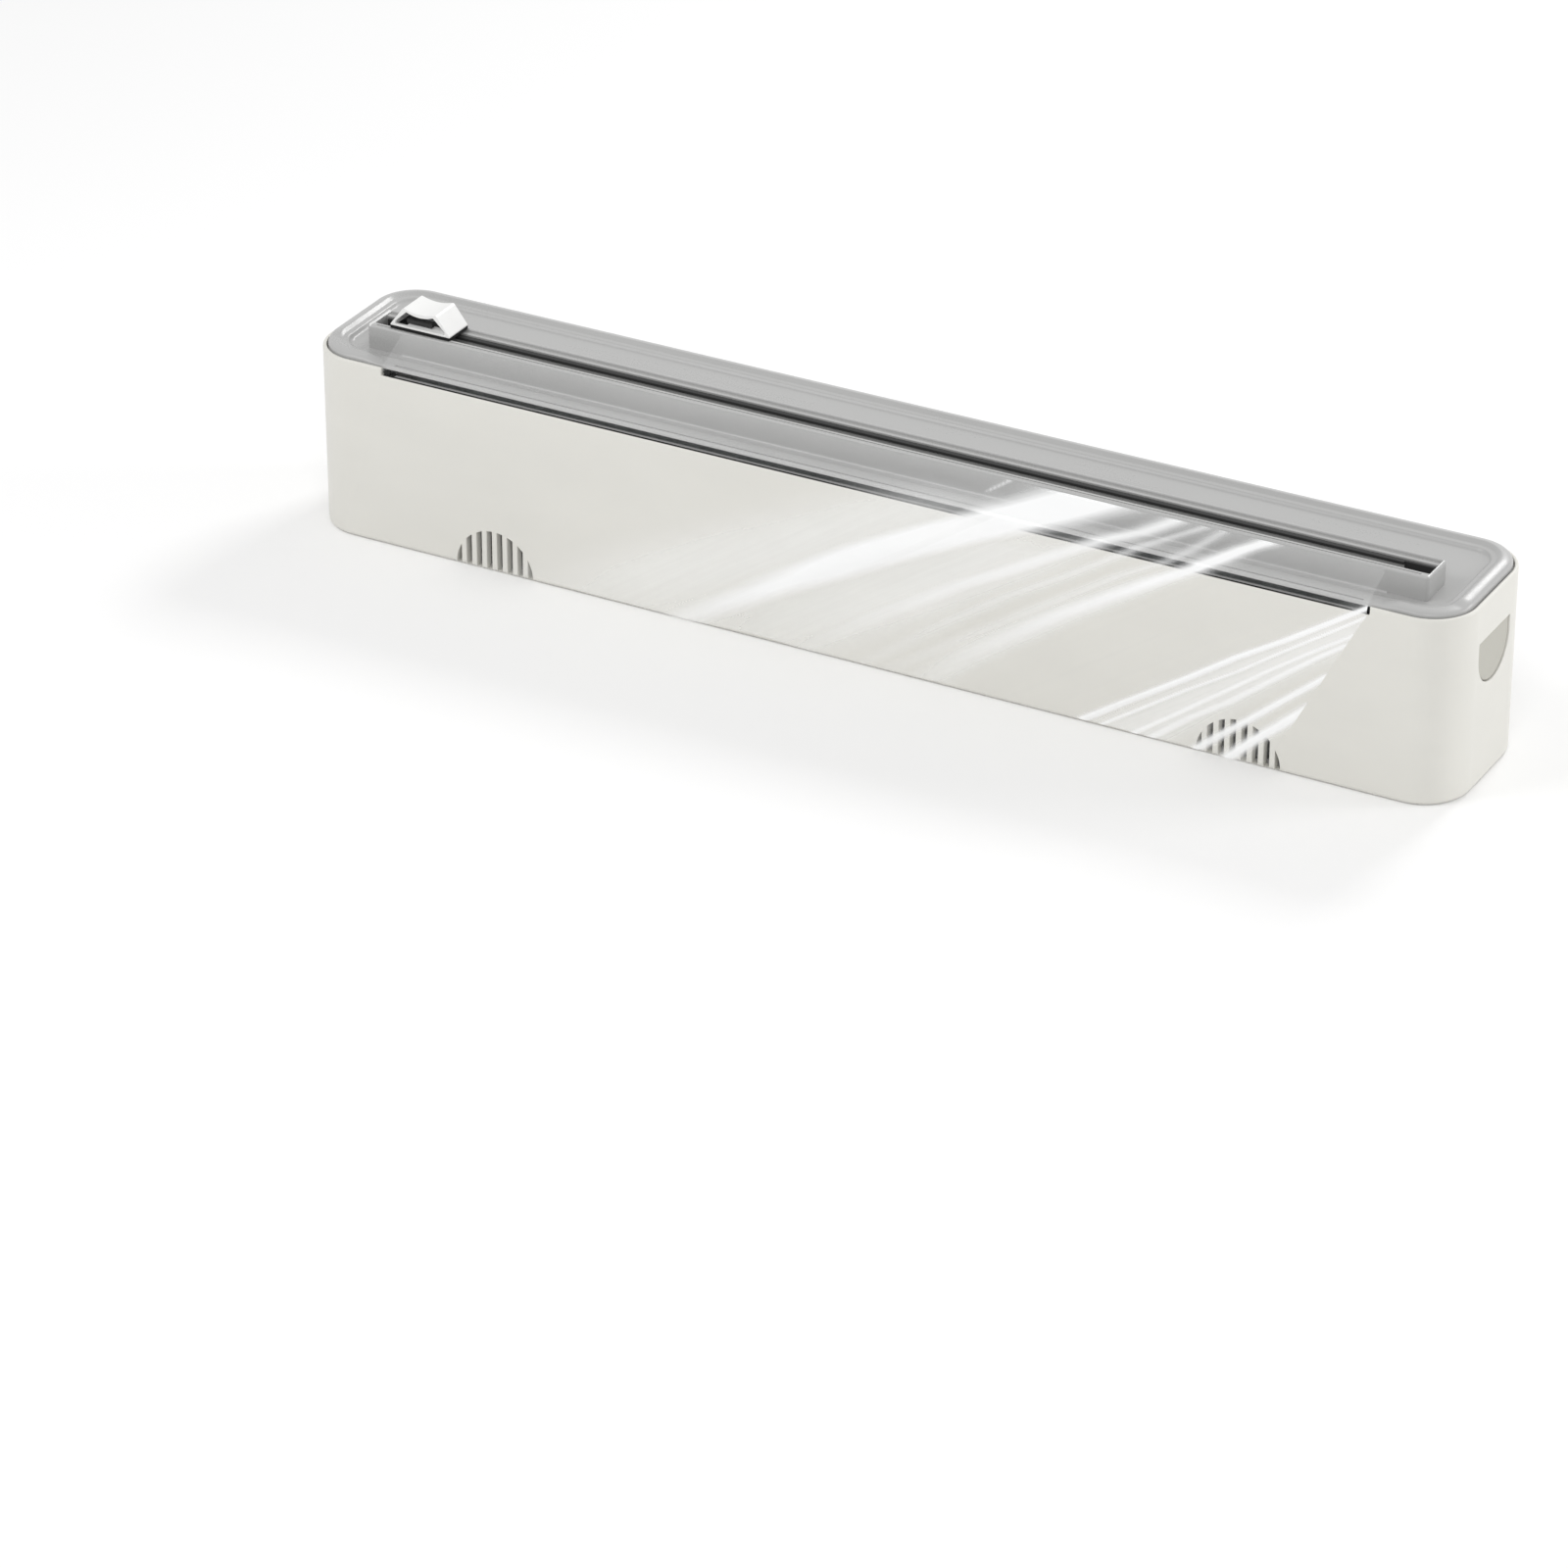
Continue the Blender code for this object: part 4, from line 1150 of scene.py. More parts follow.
@dataclass
class Box:
    """The white box: shell, grilles, cup pockets, end windows, and the strips that paint shade in its film outlet."""

    plan: Plan
    pocket: CupPocket
    pad: PadShape
    finish: MouldedPlastic
    strip: MouldedPlastic
    seal: MouldedPlastic
    grille: Grille = Grille()
    grille_past: float = 0.0003
    foot_round: float = 0.0015
    rim_round: float = 0.0006
    rim_inner_round: float = 0.00022
    ledge_ease: float = 0.0002
    floor_round: float = 0.0022
    window_round: float = 0.0003
    outlet_edge: float = 0.0004
    outlet_round: float = 0.0005
    outlet_past: float = 0.0005
    outlet_step: float = 0.0005
    step_ease: float = 0.0003
    strip_gap: float = 0.00004
    strip_short: float = 0.0005
    strip_height: float = 0.0004
    strip_ease: float = 0.00006
    # The grey strip and the black fill in the outlet's step paint shade; the taller black blocks paint its dark ends.
    seal_width: float = 0.0009
    seal_end: float = 0.0031
    seal_end_height: float = 0.00044
    stop_length: float = 0.0016
    stop_height: float = 0.0016
    stop_setback: float = 0.0006

    def rings(self) -> list[Ring]:
        """The shell from its foot, up the outside, over the rim and down the inside.

        Returns:
            Its rings.
        """
        plan, low, fillet = self.plan, self.foot_round, self.floor_round
        rows = [(low - low * math.sin(a), low - low * math.cos(a)) for a in np.linspace(0.0, math.pi / 2, 8)]
        rows += [(grow, plan.height - depth) for grow, depth in rounding(self.rim_round, 5)]
        rows += [(plan.rim - grow, plan.height - depth)
                 for grow, depth in reversed(rounding(self.rim_inner_round, 3))]
        rows += [(plan.rim, plan.ledge), (plan.wall - self.ledge_ease, plan.ledge),
                 (plan.wall, plan.ledge - self.ledge_ease)]
        rows += [(plan.wall + (fillet - fillet * math.cos(a)), plan.wall + fillet - fillet * math.sin(a))
                 for a in np.linspace(0.0, math.pi / 2, 6)]
        return [plan.ring(inset, height) for inset, height in rows]

    def outlet_cutters(self) -> list[Item]:
        """The notch of the film outlet, with its rounded edge, and the step in its floor.

        Returns:
            The helpers.
        """
        plan = self.plan
        end, back = plan.outlet_half - self.step_ease, -plan.inner_depth + self.outlet_past

        def notch(grow: float) -> list[Pair]:
            """The notch in (x, z), grown to its ends and downwards."""
            x, low, high = plan.outlet_half + grow, plan.notch_floor - grow, plan.height + 3 * OVER
            return [(-x, low), (x, low), (x, high), (-x, high)]

        return [mouth_cutter("notch", notch, Axis.Y, back, -plan.half_depth, self.outlet_round),
                block("outlet_step", (-end, self.outlet_edge - plan.half_depth, plan.notch_floor - self.outlet_step),
                      (end, back, plan.notch_floor + self.step_ease))]

    def end_cutters(self, side: Side, finish: Material) -> list[Item]:
        """The openings at one end: cup pocket, grille and pad window.

        Args:
            side: The end.
            finish: Material of the grille's slots.

        Returns:
            The helpers.
        """
        plan = self.plan
        slots = self.grille.cutter(f"grille_{side.label}", side.value * self.pocket.x,
                                   -plan.inner_depth + self.grille_past, -plan.half_depth, finish)
        window = mouth_cutter(f"window_{side.label}", partial(self.pad.outline, plan.height), Axis.X,
                              side.value * (plan.inner_length - 2 * OVER), side.value * plan.half_length,
                              self.window_round)
        return [*self.pocket.cutters(side, plan), slots, window]

    def outlet_strips(self) -> list[Piece]:
        """The grey strip in the outlet's step and the black fill in front of it and at its ends: painted shade.

        Returns:
            The seal and the strip.
        """
        # The grey strip paints the shade under the lid's lip; the black fill paints the shadow line in front of it.
        plan, gap = self.plan, self.strip_gap
        front, back = self.outlet_edge - plan.half_depth + gap, plan.wall - plan.half_depth
        low, half = plan.notch_floor - self.outlet_step + gap, plan.outlet_half - self.strip_short
        seal = block("outlet_seal", (-half, front, low), (half, front + self.seal_width, low + self.strip_height))
        for side in Side:
            left, right = side.span(half - self.seal_end, half)
            end = block(f"seal_end_{side.label}", (left, front, low - 0.5 * gap),
                        (right, back, low + self.seal_end_height))
            # A taller black block at each end paints the deep shade in the outlet's end.
            left, right = side.span(half - self.stop_length, half)
            stop = block(f"seal_stop_{side.label}", (left, front + self.stop_setback, low - 0.4 * gap),
                         (right, back - 0.5 * gap, low + self.stop_height))
            boolean(seal, Operation.JOIN, end, stop)
        bake(seal)
        reach = half - self.seal_end - gap
        strip = block("outlet_strip", (-reach, front + self.seal_width + gap, low),
                      (reach, back, low + self.strip_height))
        ease_edges(strip, self.strip_ease, 40.0, 2)
        return [Piece(shade(seal), Body.BOX, Slot.TRACK).place(self.seal.material()),
                Piece(shade(strip), Body.BOX, Slot.TRACK).place(self.strip.material())]

    def build(self) -> list[Piece]:
        """Build the shell with all its openings, and the strips in its outlet.

        Returns:
            The pieces.
        """
        finish = self.finish.material()
        shell = loft("box_shell", self.rings())
        boolean(shell, Operation.JOIN, *(self.pocket.housing(side, self.plan) for side in Side))
        boolean(shell, Operation.CUT, *self.outlet_cutters())
        for side in Side:
            boolean(shell, Operation.CUT, *self.end_cutters(side, finish))
        shade(tidy_mesh(bake(shell)))
        return [Piece(shell, Body.BOX, Slot.WHITE, ("body_shell",)).place(finish), *self.outlet_strips()]


@dataclass
class Lid:
    """The grey lid: tray with a raised rim, rail block, ramp and lip.

    A row of rim_profile holds the distance from the lid's edge, the share of the rim's rise there, and for the
    outlet, where the rim is missing, the share of the edge's drop. A bevel holds where it starts from the block's
    end and its slope.
    """

    plan: Plan
    finish: MouldedPlastic
    skirt: float = 0.0030
    skirt_wall: float = 0.0015
    skirt_ease: float = 0.0002
    thickness: float = 0.0020
    edge_ease: float = 0.0001
    edge_foot: float = 0.45
    ridge_rise: float = 0.0024
    ridge_back: Pair = (0.0045, 0.0090)
    corner_ridge: float = 0.60
    lip: float = 0.0008
    film_gap: float = 0.0022
    rail_half: float = 0.164
    rail_depth: float = 0.0125
    rail_height: float = 0.0061
    rail_setback: float = 0.0116
    rail_corner: float = 0.0012
    rail_root: float = 0.85
    front_wall: float = 0.0025
    back_wall: float = 0.0014
    end_wall: float = 0.0009
    edge_round: float = 0.0006
    back_round: float = 0.0011
    bevel_left: Pair = (0.0002, 0.72)
    bevel_right: Pair = (-0.0007, 0.30)
    bevel_reach: float = 0.0010
    shelf: float = 0.0017
    shelf_drop: float = 0.0008
    channel_corner: float = 0.0002
    channel_round: float = 0.0004
    track_round: float = 0.0002
    track_depth: float = 0.0049
    track_inset: float = 0.0016
    ramp: float = 0.0040
    ramp_round: float = 0.0007
    ramp_root: Point = (0.0008, 0.0006, 0.00004)
    front_drop: float = 0.0012
    sink_start: float = 0.0050
    groove: float = 0.0005
    groove_setback: float = 0.00095
    groove_stop: float = 0.0026
    lip_line: Pair = (0.0007, 0.0004)
    lip_line_setback: float = 0.0012
    lip_line_stop: float = 0.0030
    rim_profile: tuple[Point, ...] = (
        (0.0, 0.0, -0.45), (0.00012, 0.10, -0.12), (0.0003, 0.33, -0.035), (0.0006, 0.53, -0.005),
        (0.0010, 0.68, 0.0), (0.0015, 0.80, 0.0), (0.0018, 0.855, 0.0), (0.0021, 0.90, 0.0), (0.0024, 0.94, 0.0),
        (0.0027, 0.972, 0.0), (0.0030, 0.995, 0.0), (0.0032, 1.0, 0.0), (0.0034, 0.975, 0.0), (0.0036, 0.92, 0.0),
        (0.0038, 0.85, 0.0), (0.0041, 0.74, 0.0), (0.0044, 0.63, 0.0), (0.0046, 0.57, 0.0), (0.0048, 0.54, 0.0),
        (0.0053, 0.51, 0.0), (0.0057, 0.48, 0.0), (0.0060, 0.39, 0.0), (0.0063, 0.22, 0.0), (0.0066, 0.09, 0.0),
        (0.0070, 0.02, 0.0), (0.0076, 0.0, 0.0), (0.0085, 0.0, 0.0))

    @property
    def rail_front(self) -> float:
        """Where the rail block's front is, in y."""
        return -self.plan.half_depth + self.rail_setback

    @property
    def rail_top(self) -> float:
        """Height of the rail block."""
        return self.plan.panel + self.rail_height

    @property
    def seat(self) -> float:
        """Height of the lid's seat on the ledge."""
        return self.plan.ledge + self.plan.fit

    @property
    def channel(self) -> Point:
        """The channel's front, its shelf's edge and its back, in y."""
        front, back = self.rail_front + self.front_wall, self.rail_front + self.rail_depth - self.back_wall
        return front, back - self.shelf, back

    @property
    def track_floor(self) -> float:
        """Height of the channel's floor."""
        return self.rail_top - self.shelf_drop - self.track_depth

    def sink(self, y: float) -> float:
        """How far the panel lies lower at y: it falls evenly from the back rim to the front."""
        reach = self.plan.half_depth - self.plan.rim - self.plan.fit - self.rim_profile[-1][0]
        return self.front_drop * (reach - y) / (2 * reach)

    def ridge_share(self, x: float, y: float) -> float:
        """How much of the raised rim stands.

        Args:
            x: Place along the lid's edge.
            y: Place across it.

        Returns:
            None at the outlet, a part at the front corners, and all of it from there back.
        """
        plan, (start, reach) = self.plan, self.ridge_back
        corner = self.corner_ridge * smooth((abs(x) - plan.outlet_half - plan.outlet_margin) / plan.ridge_fade)
        return max(corner if y < 0 else 0.0, smooth((y + plan.half_depth - start) / reach))

    def rim_rows(self, steps: int = 4) -> list[Point]:
        """The rim's profile with smooth steps between its rows.

        Args:
            steps: Steps from row to row.

        Returns:
            The finer profile.
        """
        known = np.array(self.rim_profile)
        last = len(known) - 1
        rows: list[Point] = []
        for number in range(last):
            a, b = known[number], known[number + 1]
            before, after = b - known[max(number - 1, 0)], known[min(number + 2, last)] - a
            for t in np.arange(steps) / steps:
                spot = ((2 * t ** 3 - 3 * t ** 2 + 1) * a + (t ** 3 - 2 * t ** 2 + t) * 0.5 * before
                        + (-2 * t ** 3 + 3 * t ** 2) * b + (t ** 3 - t ** 2) * 0.5 * after)
                rows.append(tuple(float(value) for value in spot))
        return rows + [tuple(float(value) for value in known[-1])]

    def rings(self) -> list[Ring]:
        """The tray from inside its skirt, out under the edge, over the rim and in to the panel.

        Returns:
            Its rings.
        """
        plan, ease = self.plan, self.skirt_ease
        outer, inner = plan.wall + plan.fit, plan.wall + plan.fit + self.skirt_wall
        edge, low = plan.rim + plan.fit, self.seat - self.skirt
        rings = [plan.ring(inset, height) for inset, height in (
            (inner, plan.panel - self.thickness), (inner, low + ease), (inner - ease, low), (outer + ease, low),
            (outer, low + ease), (outer, self.seat), (edge + self.edge_ease, self.seat),
            (edge, self.seat + self.edge_ease))]
        rise, drop = plan.height + self.ridge_rise - plan.panel, plan.panel - self.seat
        start, end = self.sink_start, self.rim_profile[-1][0]
        for inset, share, front in self.rim_rows():
            ring, sunk = [], smooth((inset - start) / (end - start))
            ridge = share * rise if inset > self.edge_ease else -self.edge_foot * drop
            for x, y in plan.outline(edge + inset):
                weight = self.ridge_share(x, y)
                height = plan.panel + weight * ridge + (1 - weight) * front * drop - sunk * self.sink(y)
                ring.append((x, y, height))
            rings.append(ring)
        return rings

    def rail(self) -> Item:
        """The raised block that carries the track, more rounded behind than in front.

        Returns:
            The helper.
        """
        foot = (0.0, self.rail_top - self.plan.panel + self.rail_root * self.thickness)
        front_rows, back_rows = ([foot] + rounding(radius, 6) for radius in (self.edge_round, self.back_round))
        rings = []
        for (inset, depth), (back_inset, back_depth) in zip(front_rows, back_rows):
            low, high = self.rail_front + inset, self.rail_front + self.rail_depth - back_inset
            middle = (low + high) / 2
            outline = rounded_outline(self.rail_half - inset, (high - low) / 2, self.rail_corner - inset,
                                      (0.0, middle), 10)
            rings.append([(x, y, self.rail_top - (depth if y < middle else back_depth)) for x, y in outline])
        return loft("rail_block", rings)

    def end_bevel(self, side: Side) -> Item:
        """The wedge that bevels the top of an end wall towards the right.

        Args:
            side: The end.

        Returns:
            The helper.
        """
        start, slope = self.bevel_left if side is Side.LEFT else self.bevel_right
        near, top = side.value * self.rail_half + start, self.rail_top + 2 * HAIR
        far = near + self.bevel_reach
        outline = [(near, top), (far, top - slope * (far - near)), (far, top + OVER), (near, top + OVER)]
        return prism(f"end_bevel_{side.label}", outline, Axis.Y, self.rail_front - OVER,
                     self.rail_front + self.rail_depth + OVER)

    def ramp_strip(self) -> Item:
        """The fillet between the block's front and the panel.

        Returns:
            The helper.
        """
        y, radius = self.rail_front, self.ramp_round
        inside, under, sunk = self.ramp_root
        z = self.plan.panel - self.sink(y - radius) - sunk
        outline = arc((y - radius, z + radius), radius, -90.0, 0.0, 20)
        outline += [(y + inside, z + radius), (y + inside, z - under), (y - radius, z - under)]
        return prism("ramp", outline, Axis.X, -self.plan.outlet_half, self.plan.outlet_half)

    def channel_cutters(self) -> list[Item]:
        """The stepped channel in the rail block.

        Returns:
            The helpers.
        """
        front, shelf, back = self.channel
        half, step = self.rail_half - self.end_wall, self.rail_top - self.shelf_drop

        def opening(low: float, high: float, grow: float) -> list[Pair]:
            """The outline of an opening from low to high in y, grown outwards."""
            return rounded_outline(half + grow, (high - low) / 2 + grow, self.channel_corner + grow,
                                   (0.0, (low + high) / 2), 4)

        return [mouth_cutter("channel", partial(opening, front, back), Axis.Z, step, self.rail_top,
                             self.channel_round),
                mouth_cutter("track_room", partial(opening, front + HAIR, shelf), Axis.Z, self.track_floor,
                             step + HAIR, self.track_round)]

    def line_cutters(self) -> list[Item]:
        """The groove in the block's front edge, the line behind the lip, and the film gap under the lip.

        Returns:
            The helpers.
        """
        plan, width, (line_width, line_depth) = self.plan, self.groove, self.lip_line
        groove = self.rail_front + self.groove_setback
        line = plan.rim + plan.fit + self.lip_line_setback - plan.half_depth
        groove_end, line_end = self.rail_half - self.groove_stop, plan.outlet_half - self.lip_line_stop
        return [block("edge_groove", (-groove_end, groove, self.rail_top - width),
                      (groove_end, groove + width, self.rail_top + OVER)),
                block("lip_groove", (-line_end, line, plan.panel - line_depth),
                      (line_end, line + line_width, plan.panel + OVER)),
                block("film_gap", (-plan.outlet_half, -plan.half_depth - 4 * OVER, self.seat - self.skirt - 2 * OVER),
                      (plan.outlet_half, -plan.half_depth + plan.wall + plan.fit + self.film_gap,
                       plan.panel - self.lip))]

    def build(self) -> list[Piece]:
        """Build the lid with its channel and its film gap.

        Returns:
            The lid.
        """
        lid = loft("lid_tray", self.rings())
        boolean(lid, Operation.JOIN, self.rail(), self.ramp_strip())
        boolean(lid, Operation.CUT, *(self.end_bevel(side) for side in Side), *self.channel_cutters(),
                *self.line_cutters())
        shade(tidy_mesh(bake(lid)))
        return [Piece(lid, Body.LID, Slot.GREY, ("lid_shell",)).place(self.finish.material())]


@dataclass
class Track:
    """The dark C-shaped track in the rail's channel, and its thin grey bed."""

    lid: Lid
    finish: MouldedPlastic
    bed_finish: MouldedPlastic
    wall: float = 0.0010
    lip: float = 0.0008
    gap: float = 0.0015
    drop: float = 0.0012
    pocket: float = 0.0085
    bed: float = 0.0001
    corner: float = 0.00015
    ease: float = 0.0001

    def build(self) -> list[Piece]:
        """Build the track, with a pocket at each end, and the L-shaped bed in it.

        Returns:
            The track and its bed.
        """
        front, shelf, _ = self.lid.channel
        fit = self.lid.plan.fit
        half, middle = (shelf - front) / 2 - fit, (front + shelf) / 2
        low, high = self.lid.track_floor + fit, self.lid.rail_top - self.drop
        roof, end = high - self.lip, self.lid.rail_half - self.lid.track_inset - fit
        right = [(half, low), (half, high), (self.gap, high), (self.gap, roof), (half - self.wall, roof),
                 (half - self.wall, low + self.wall)]
        corners = [(middle + a, b) for a, b in right + [(-a, b) for a, b in reversed(right)]]
        track = prism("rail_liner", eased(corners, [self.corner] * len(corners), 3), Axis.X, -end, end)
        near, far = middle - half + self.wall, middle + half - self.wall
        for side in Side:
            start, stop = side.span(end - self.pocket, end + 2 * OVER)
            boolean(track, Operation.CUT, block(f"pocket_{side.label}", (start, near, low + self.wall),
                                                (stop, far, high + 2 * OVER)))
        tidy_mesh(bake(track))
        ease_edges(track, self.ease, 60.0, 2)
        back, floor = far - HAIR, low + self.wall + HAIR
        bed = prism("track_bed", [(near, floor), (back, floor), (back, roof), (back - self.bed, roof),
                                  (back - self.bed, floor + self.bed), (near, floor + self.bed)],
                    Axis.X, self.pocket - end, end - self.pocket)
        return [Piece(shade(track, 40.0), Body.LID, Slot.TRACK, ("rail_track",)).place(self.finish.material()),
                Piece(shade(bed), Body.LID, Slot.TRACK).place(self.bed_finish.material())]


@dataclass
class Cutter:
    """The sliding cutter: white saddle on a black plate that paints the shadowed gap under it, dark foot, blade and
    pin.

    The window's and the floor's pairs are distances from the saddle's ends, sides or middle.
    """

    lid: Lid
    white: MouldedPlastic
    dark: MouldedPlastic
    black: MouldedPlastic
    steel: GroundSteel
    length: float = 0.0195
    top_length: float = 0.0104
    depth: float = 0.0100
    height: float = 0.0066
    shell: float = 0.0011
    setback: float = 0.0006
    park: float = 0.0053
    foot_height: float = 0.0009
    foot_taper: float = 1.45
    top_taper: float = 0.75
    shoulder: Pair = (0.0006, 0.0005)
    corners: Pair = (0.0004, 0.0003)
    edge_ease: float = 0.00024
    dip: float = 0.0009
    dip_steps: int = 9
    window_x: Pair = (0.0013, 0.0048)
    window_y: Pair = (0.0010, 0.0012)
    window_rise: float = 0.0004
    floor_x: Pair = (0.0046, 0.0058)
    floor_setback: float = 0.0012
    floor_sink: float = 0.0003
    floor_rise: float = 0.0030
    # A thin black plate under the saddle paints the shadowed gap between the saddle and the rail.
    runner_height: float = 0.0008
    runner_corner: float = 0.0008
    runner_proud: float = 0.00025
    runner_gap: float = 0.00004
    foot: Copy = Copy("cutter_foot", "slider_foot", 0.0001, 40.0, 2)
    blade: Copy = Copy("blade_plate", "cutter_blade", 0.00012, 40.0, 2)
    pin: Copy = Copy("blade_rivet", "blade_pin", 0.00012, 40.0, 3)

    @property
    def x(self) -> float:
        """The parked saddle's middle along the rail."""
        return -(self.lid.rail_half - self.lid.track_inset - self.park - self.length / 2)

    @property
    def y(self) -> float:
        """The saddle's middle across the rail."""
        front, shelf, _ = self.lid.channel
        return (front + shelf) / 2 + self.setback

    @property
    def sole(self) -> float:
        """Height of the saddle's sole."""
        return self.lid.rail_top + self.lid.plan.fit

    def profile(self, inset: float, corner: float) -> list[Pair]:
        """The saddle's side outline in (x, z): wide foot, slanted ends and a dipped top.

        Args:
            inset: How far it is moved inwards.
            corner: Rounding of its corners.

        Returns:
            The outline.
        """
        foot, top = self.length / 2 - self.foot_taper * inset, self.top_length / 2 - self.top_taper * inset
        low, high = inset + self.foot_height, self.height - inset
        side, drop = self.shoulder
        corners = [(-foot, inset), (foot, inset), (foot, low), (top + side, high - drop), (top, high)]
        radii = [corner, corner, corner, 2 * corner, 1.4 * corner]
        dip = [1 - step / self.dip_steps for step in range(1, 2 * self.dip_steps)]
        corners += [(top * share, high - self.dip * (1 - share * share)) for share in dip]
        corners += [(-top, high), (-top - side, high - drop), (-foot, low)]
        radii += [0.0] * len(dip) + [1.4 * corner, 2 * corner, corner]
        return [(self.x + a, self.sole + b) for a, b in eased(corners, radii, 4)]

    def saddle(self) -> Item:
        """The white bridge, open in front, with a sloping floor and a window in its base.

        Returns:
            The saddle.
        """
        x, front, back = self.x, self.y - self.depth / 2, self.y + self.depth / 2
        outer, inner = self.corners
        grip = prism("cutter_saddle", self.profile(0.0, outer), Axis.Y, front, back)
        hollow = prism("saddle_hollow", self.profile(self.shell, inner), Axis.Y, front - 2 * OVER, back + 2 * OVER)
        window = block("saddle_window",
                       (x - self.length / 2 + self.window_x[0], front + self.window_y[0], self.sole - 2 * OVER),
                       (x - self.window_x[1], back - self.window_y[1], self.sole + self.shell + self.window_rise))
        floor = self.sole + self.shell - self.floor_sink
        slope = [(front + self.floor_setback, floor), (back, floor), (back, floor + self.floor_rise)]
        boolean(grip, Operation.CUT, hollow, window)
        boolean(grip, Operation.JOIN,
                prism("saddle_floor", slope, Axis.X, x - self.floor_x[0], x + self.floor_x[1]))
        return ease_edges(tidy_mesh(bake(grip)), self.edge_ease, 55.0, 3)

    def runner(self) -> Item:
        """The thin black plate under the saddle's base, a hair wider than it: painted shadow in the gap.

        Returns:
            The plate.
        """
        low, proud = self.lid.rail_top + self.runner_gap, self.runner_proud
        outline = rounded_outline(self.length / 2 + proud, self.depth / 2 + proud, self.runner_corner,
                                  (self.x, self.y), 8)
        return prism("saddle_runner", outline, Axis.Z, low, low + self.runner_height)

    def build(self) -> list[Piece]:
        """Dress the foot, blade and pin, and build the saddle and the black plate under it.

        Returns:
            The pieces.
        """
        steel = self.steel.material()
        made = [self.foot.build(Body.CUTTER, Slot.TRACK, self.dark.material()),
                self.blade.build(Body.CUTTER, Slot.STEEL, steel), self.pin.build(Body.CUTTER, Slot.STEEL, steel)]
        saddle = Piece(shade(self.saddle(), 40.0), Body.CUTTER, Slot.SLIDER, ("slider_grip",))
        runner = Piece(shade(self.runner(), 40.0), Body.CUTTER, Slot.TRACK)
        return made + [saddle.place(self.white.material()), runner.place(self.black.material())]


@dataclass
class Roll:
    """The film roll: wound film, card core and the plugs in its ends.

    The layers of film end unevenly: stagger is how much and at least how far each one stops short, and layer_edge is
    where its end starts to slope and stops, as shares of its thickness, and how deep the slope is.
    """

    film: WoundFilm
    card: WoundCard
    plug: MouldedPlastic
    half: float = 0.150
    radius: float = 0.0164
    height: float = 0.0340
    steps: int = 112
    core: float = 0.0134
    core_wall: float = 0.0015
    core_ease: float = 0.0002
    core_gap: float = 0.0003
    stick_out: float = 0.0010
    layers: int = 9
    seed: int = 7
    stagger: Pair = (0.00012, 0.00003)
    layer_edge: Point = (0.8, 0.9, 0.0001)
    skin: float = 0.00015
    swell: Pair = (0.00006, 0.00005)
    swell_waves: Pair = (19.0, 47.0)
    swell_inset: float = 0.0003
    swell_points: int = 70

    def turned(self, name: str, left: list[Pair], middle: Sequence[Pair] = ()) -> Item:
        """Turn a profile of the roll's left half, and its mirror image, about the roll's axis."""
        right = [(radius, -along) for radius, along in reversed(left)]
        return lathe(name, [*left, *middle, *right], Axis.X, (0.0, 0.0, self.height), self.steps, True)

    def wound(self) -> Item:
        """The wound film: layers that end unevenly, and a surface that swells a little between its bands.

        Returns:
            The wound film.
        """
        inner = self.core + self.core_gap
        rng = np.random.default_rng(self.seed)
        step = (self.radius - self.skin - inner) / self.layers
        (spread, least), (start, stop, slope) = self.stagger, self.layer_edge
        left: list[Pair] = []
        for layer in range(self.layers):
            out = self.half - spread * rng.random() - least
            left += [(inner + layer * step, -out), (inner + (layer + start) * step, -out),
                     (inner + (layer + stop) * step, -out + slope)]
        (low, size), (slow, quick), inset = self.swell, self.swell_waves, self.swell_inset
        swell = [(self.radius - low + size * math.sin(slow * t) * math.sin(quick * t + 1.0),
                  -self.half + inset + t * 2 * (self.half - inset))
                 for t in np.linspace(0.0, 1.0, self.swell_points)]
        return self.turned("wound_film", left, swell)

    def build(self) -> list[Piece]:
        """Build the roll's pieces.

        Returns:
            The wound film, the core and its plugs.
        """
        end, bore, ease = self.half + self.stick_out, self.core - self.core_wall, self.core_ease
        core = self.turned("card_core", [(bore, -end + ease), (bore + ease, -end), (self.core - ease, -end),
                                         (self.core, -end + ease)])
        made = [Piece(shade(self.wound()), Body.ROLL, Slot.WOUND, ("film_roll",)).place(self.film.material()),
                Piece(shade(core), Body.ROLL, Slot.CARD, ("film_core",)).place(self.card.material())]
        grey = self.plug.material()
        return made + [Copy(f"roll_plug_{side.label}", f"core_plug_{side.label}", 0.0003, 30.0, 3).build(
            Body.ROLL, Slot.GREY, grey) for side in Side]


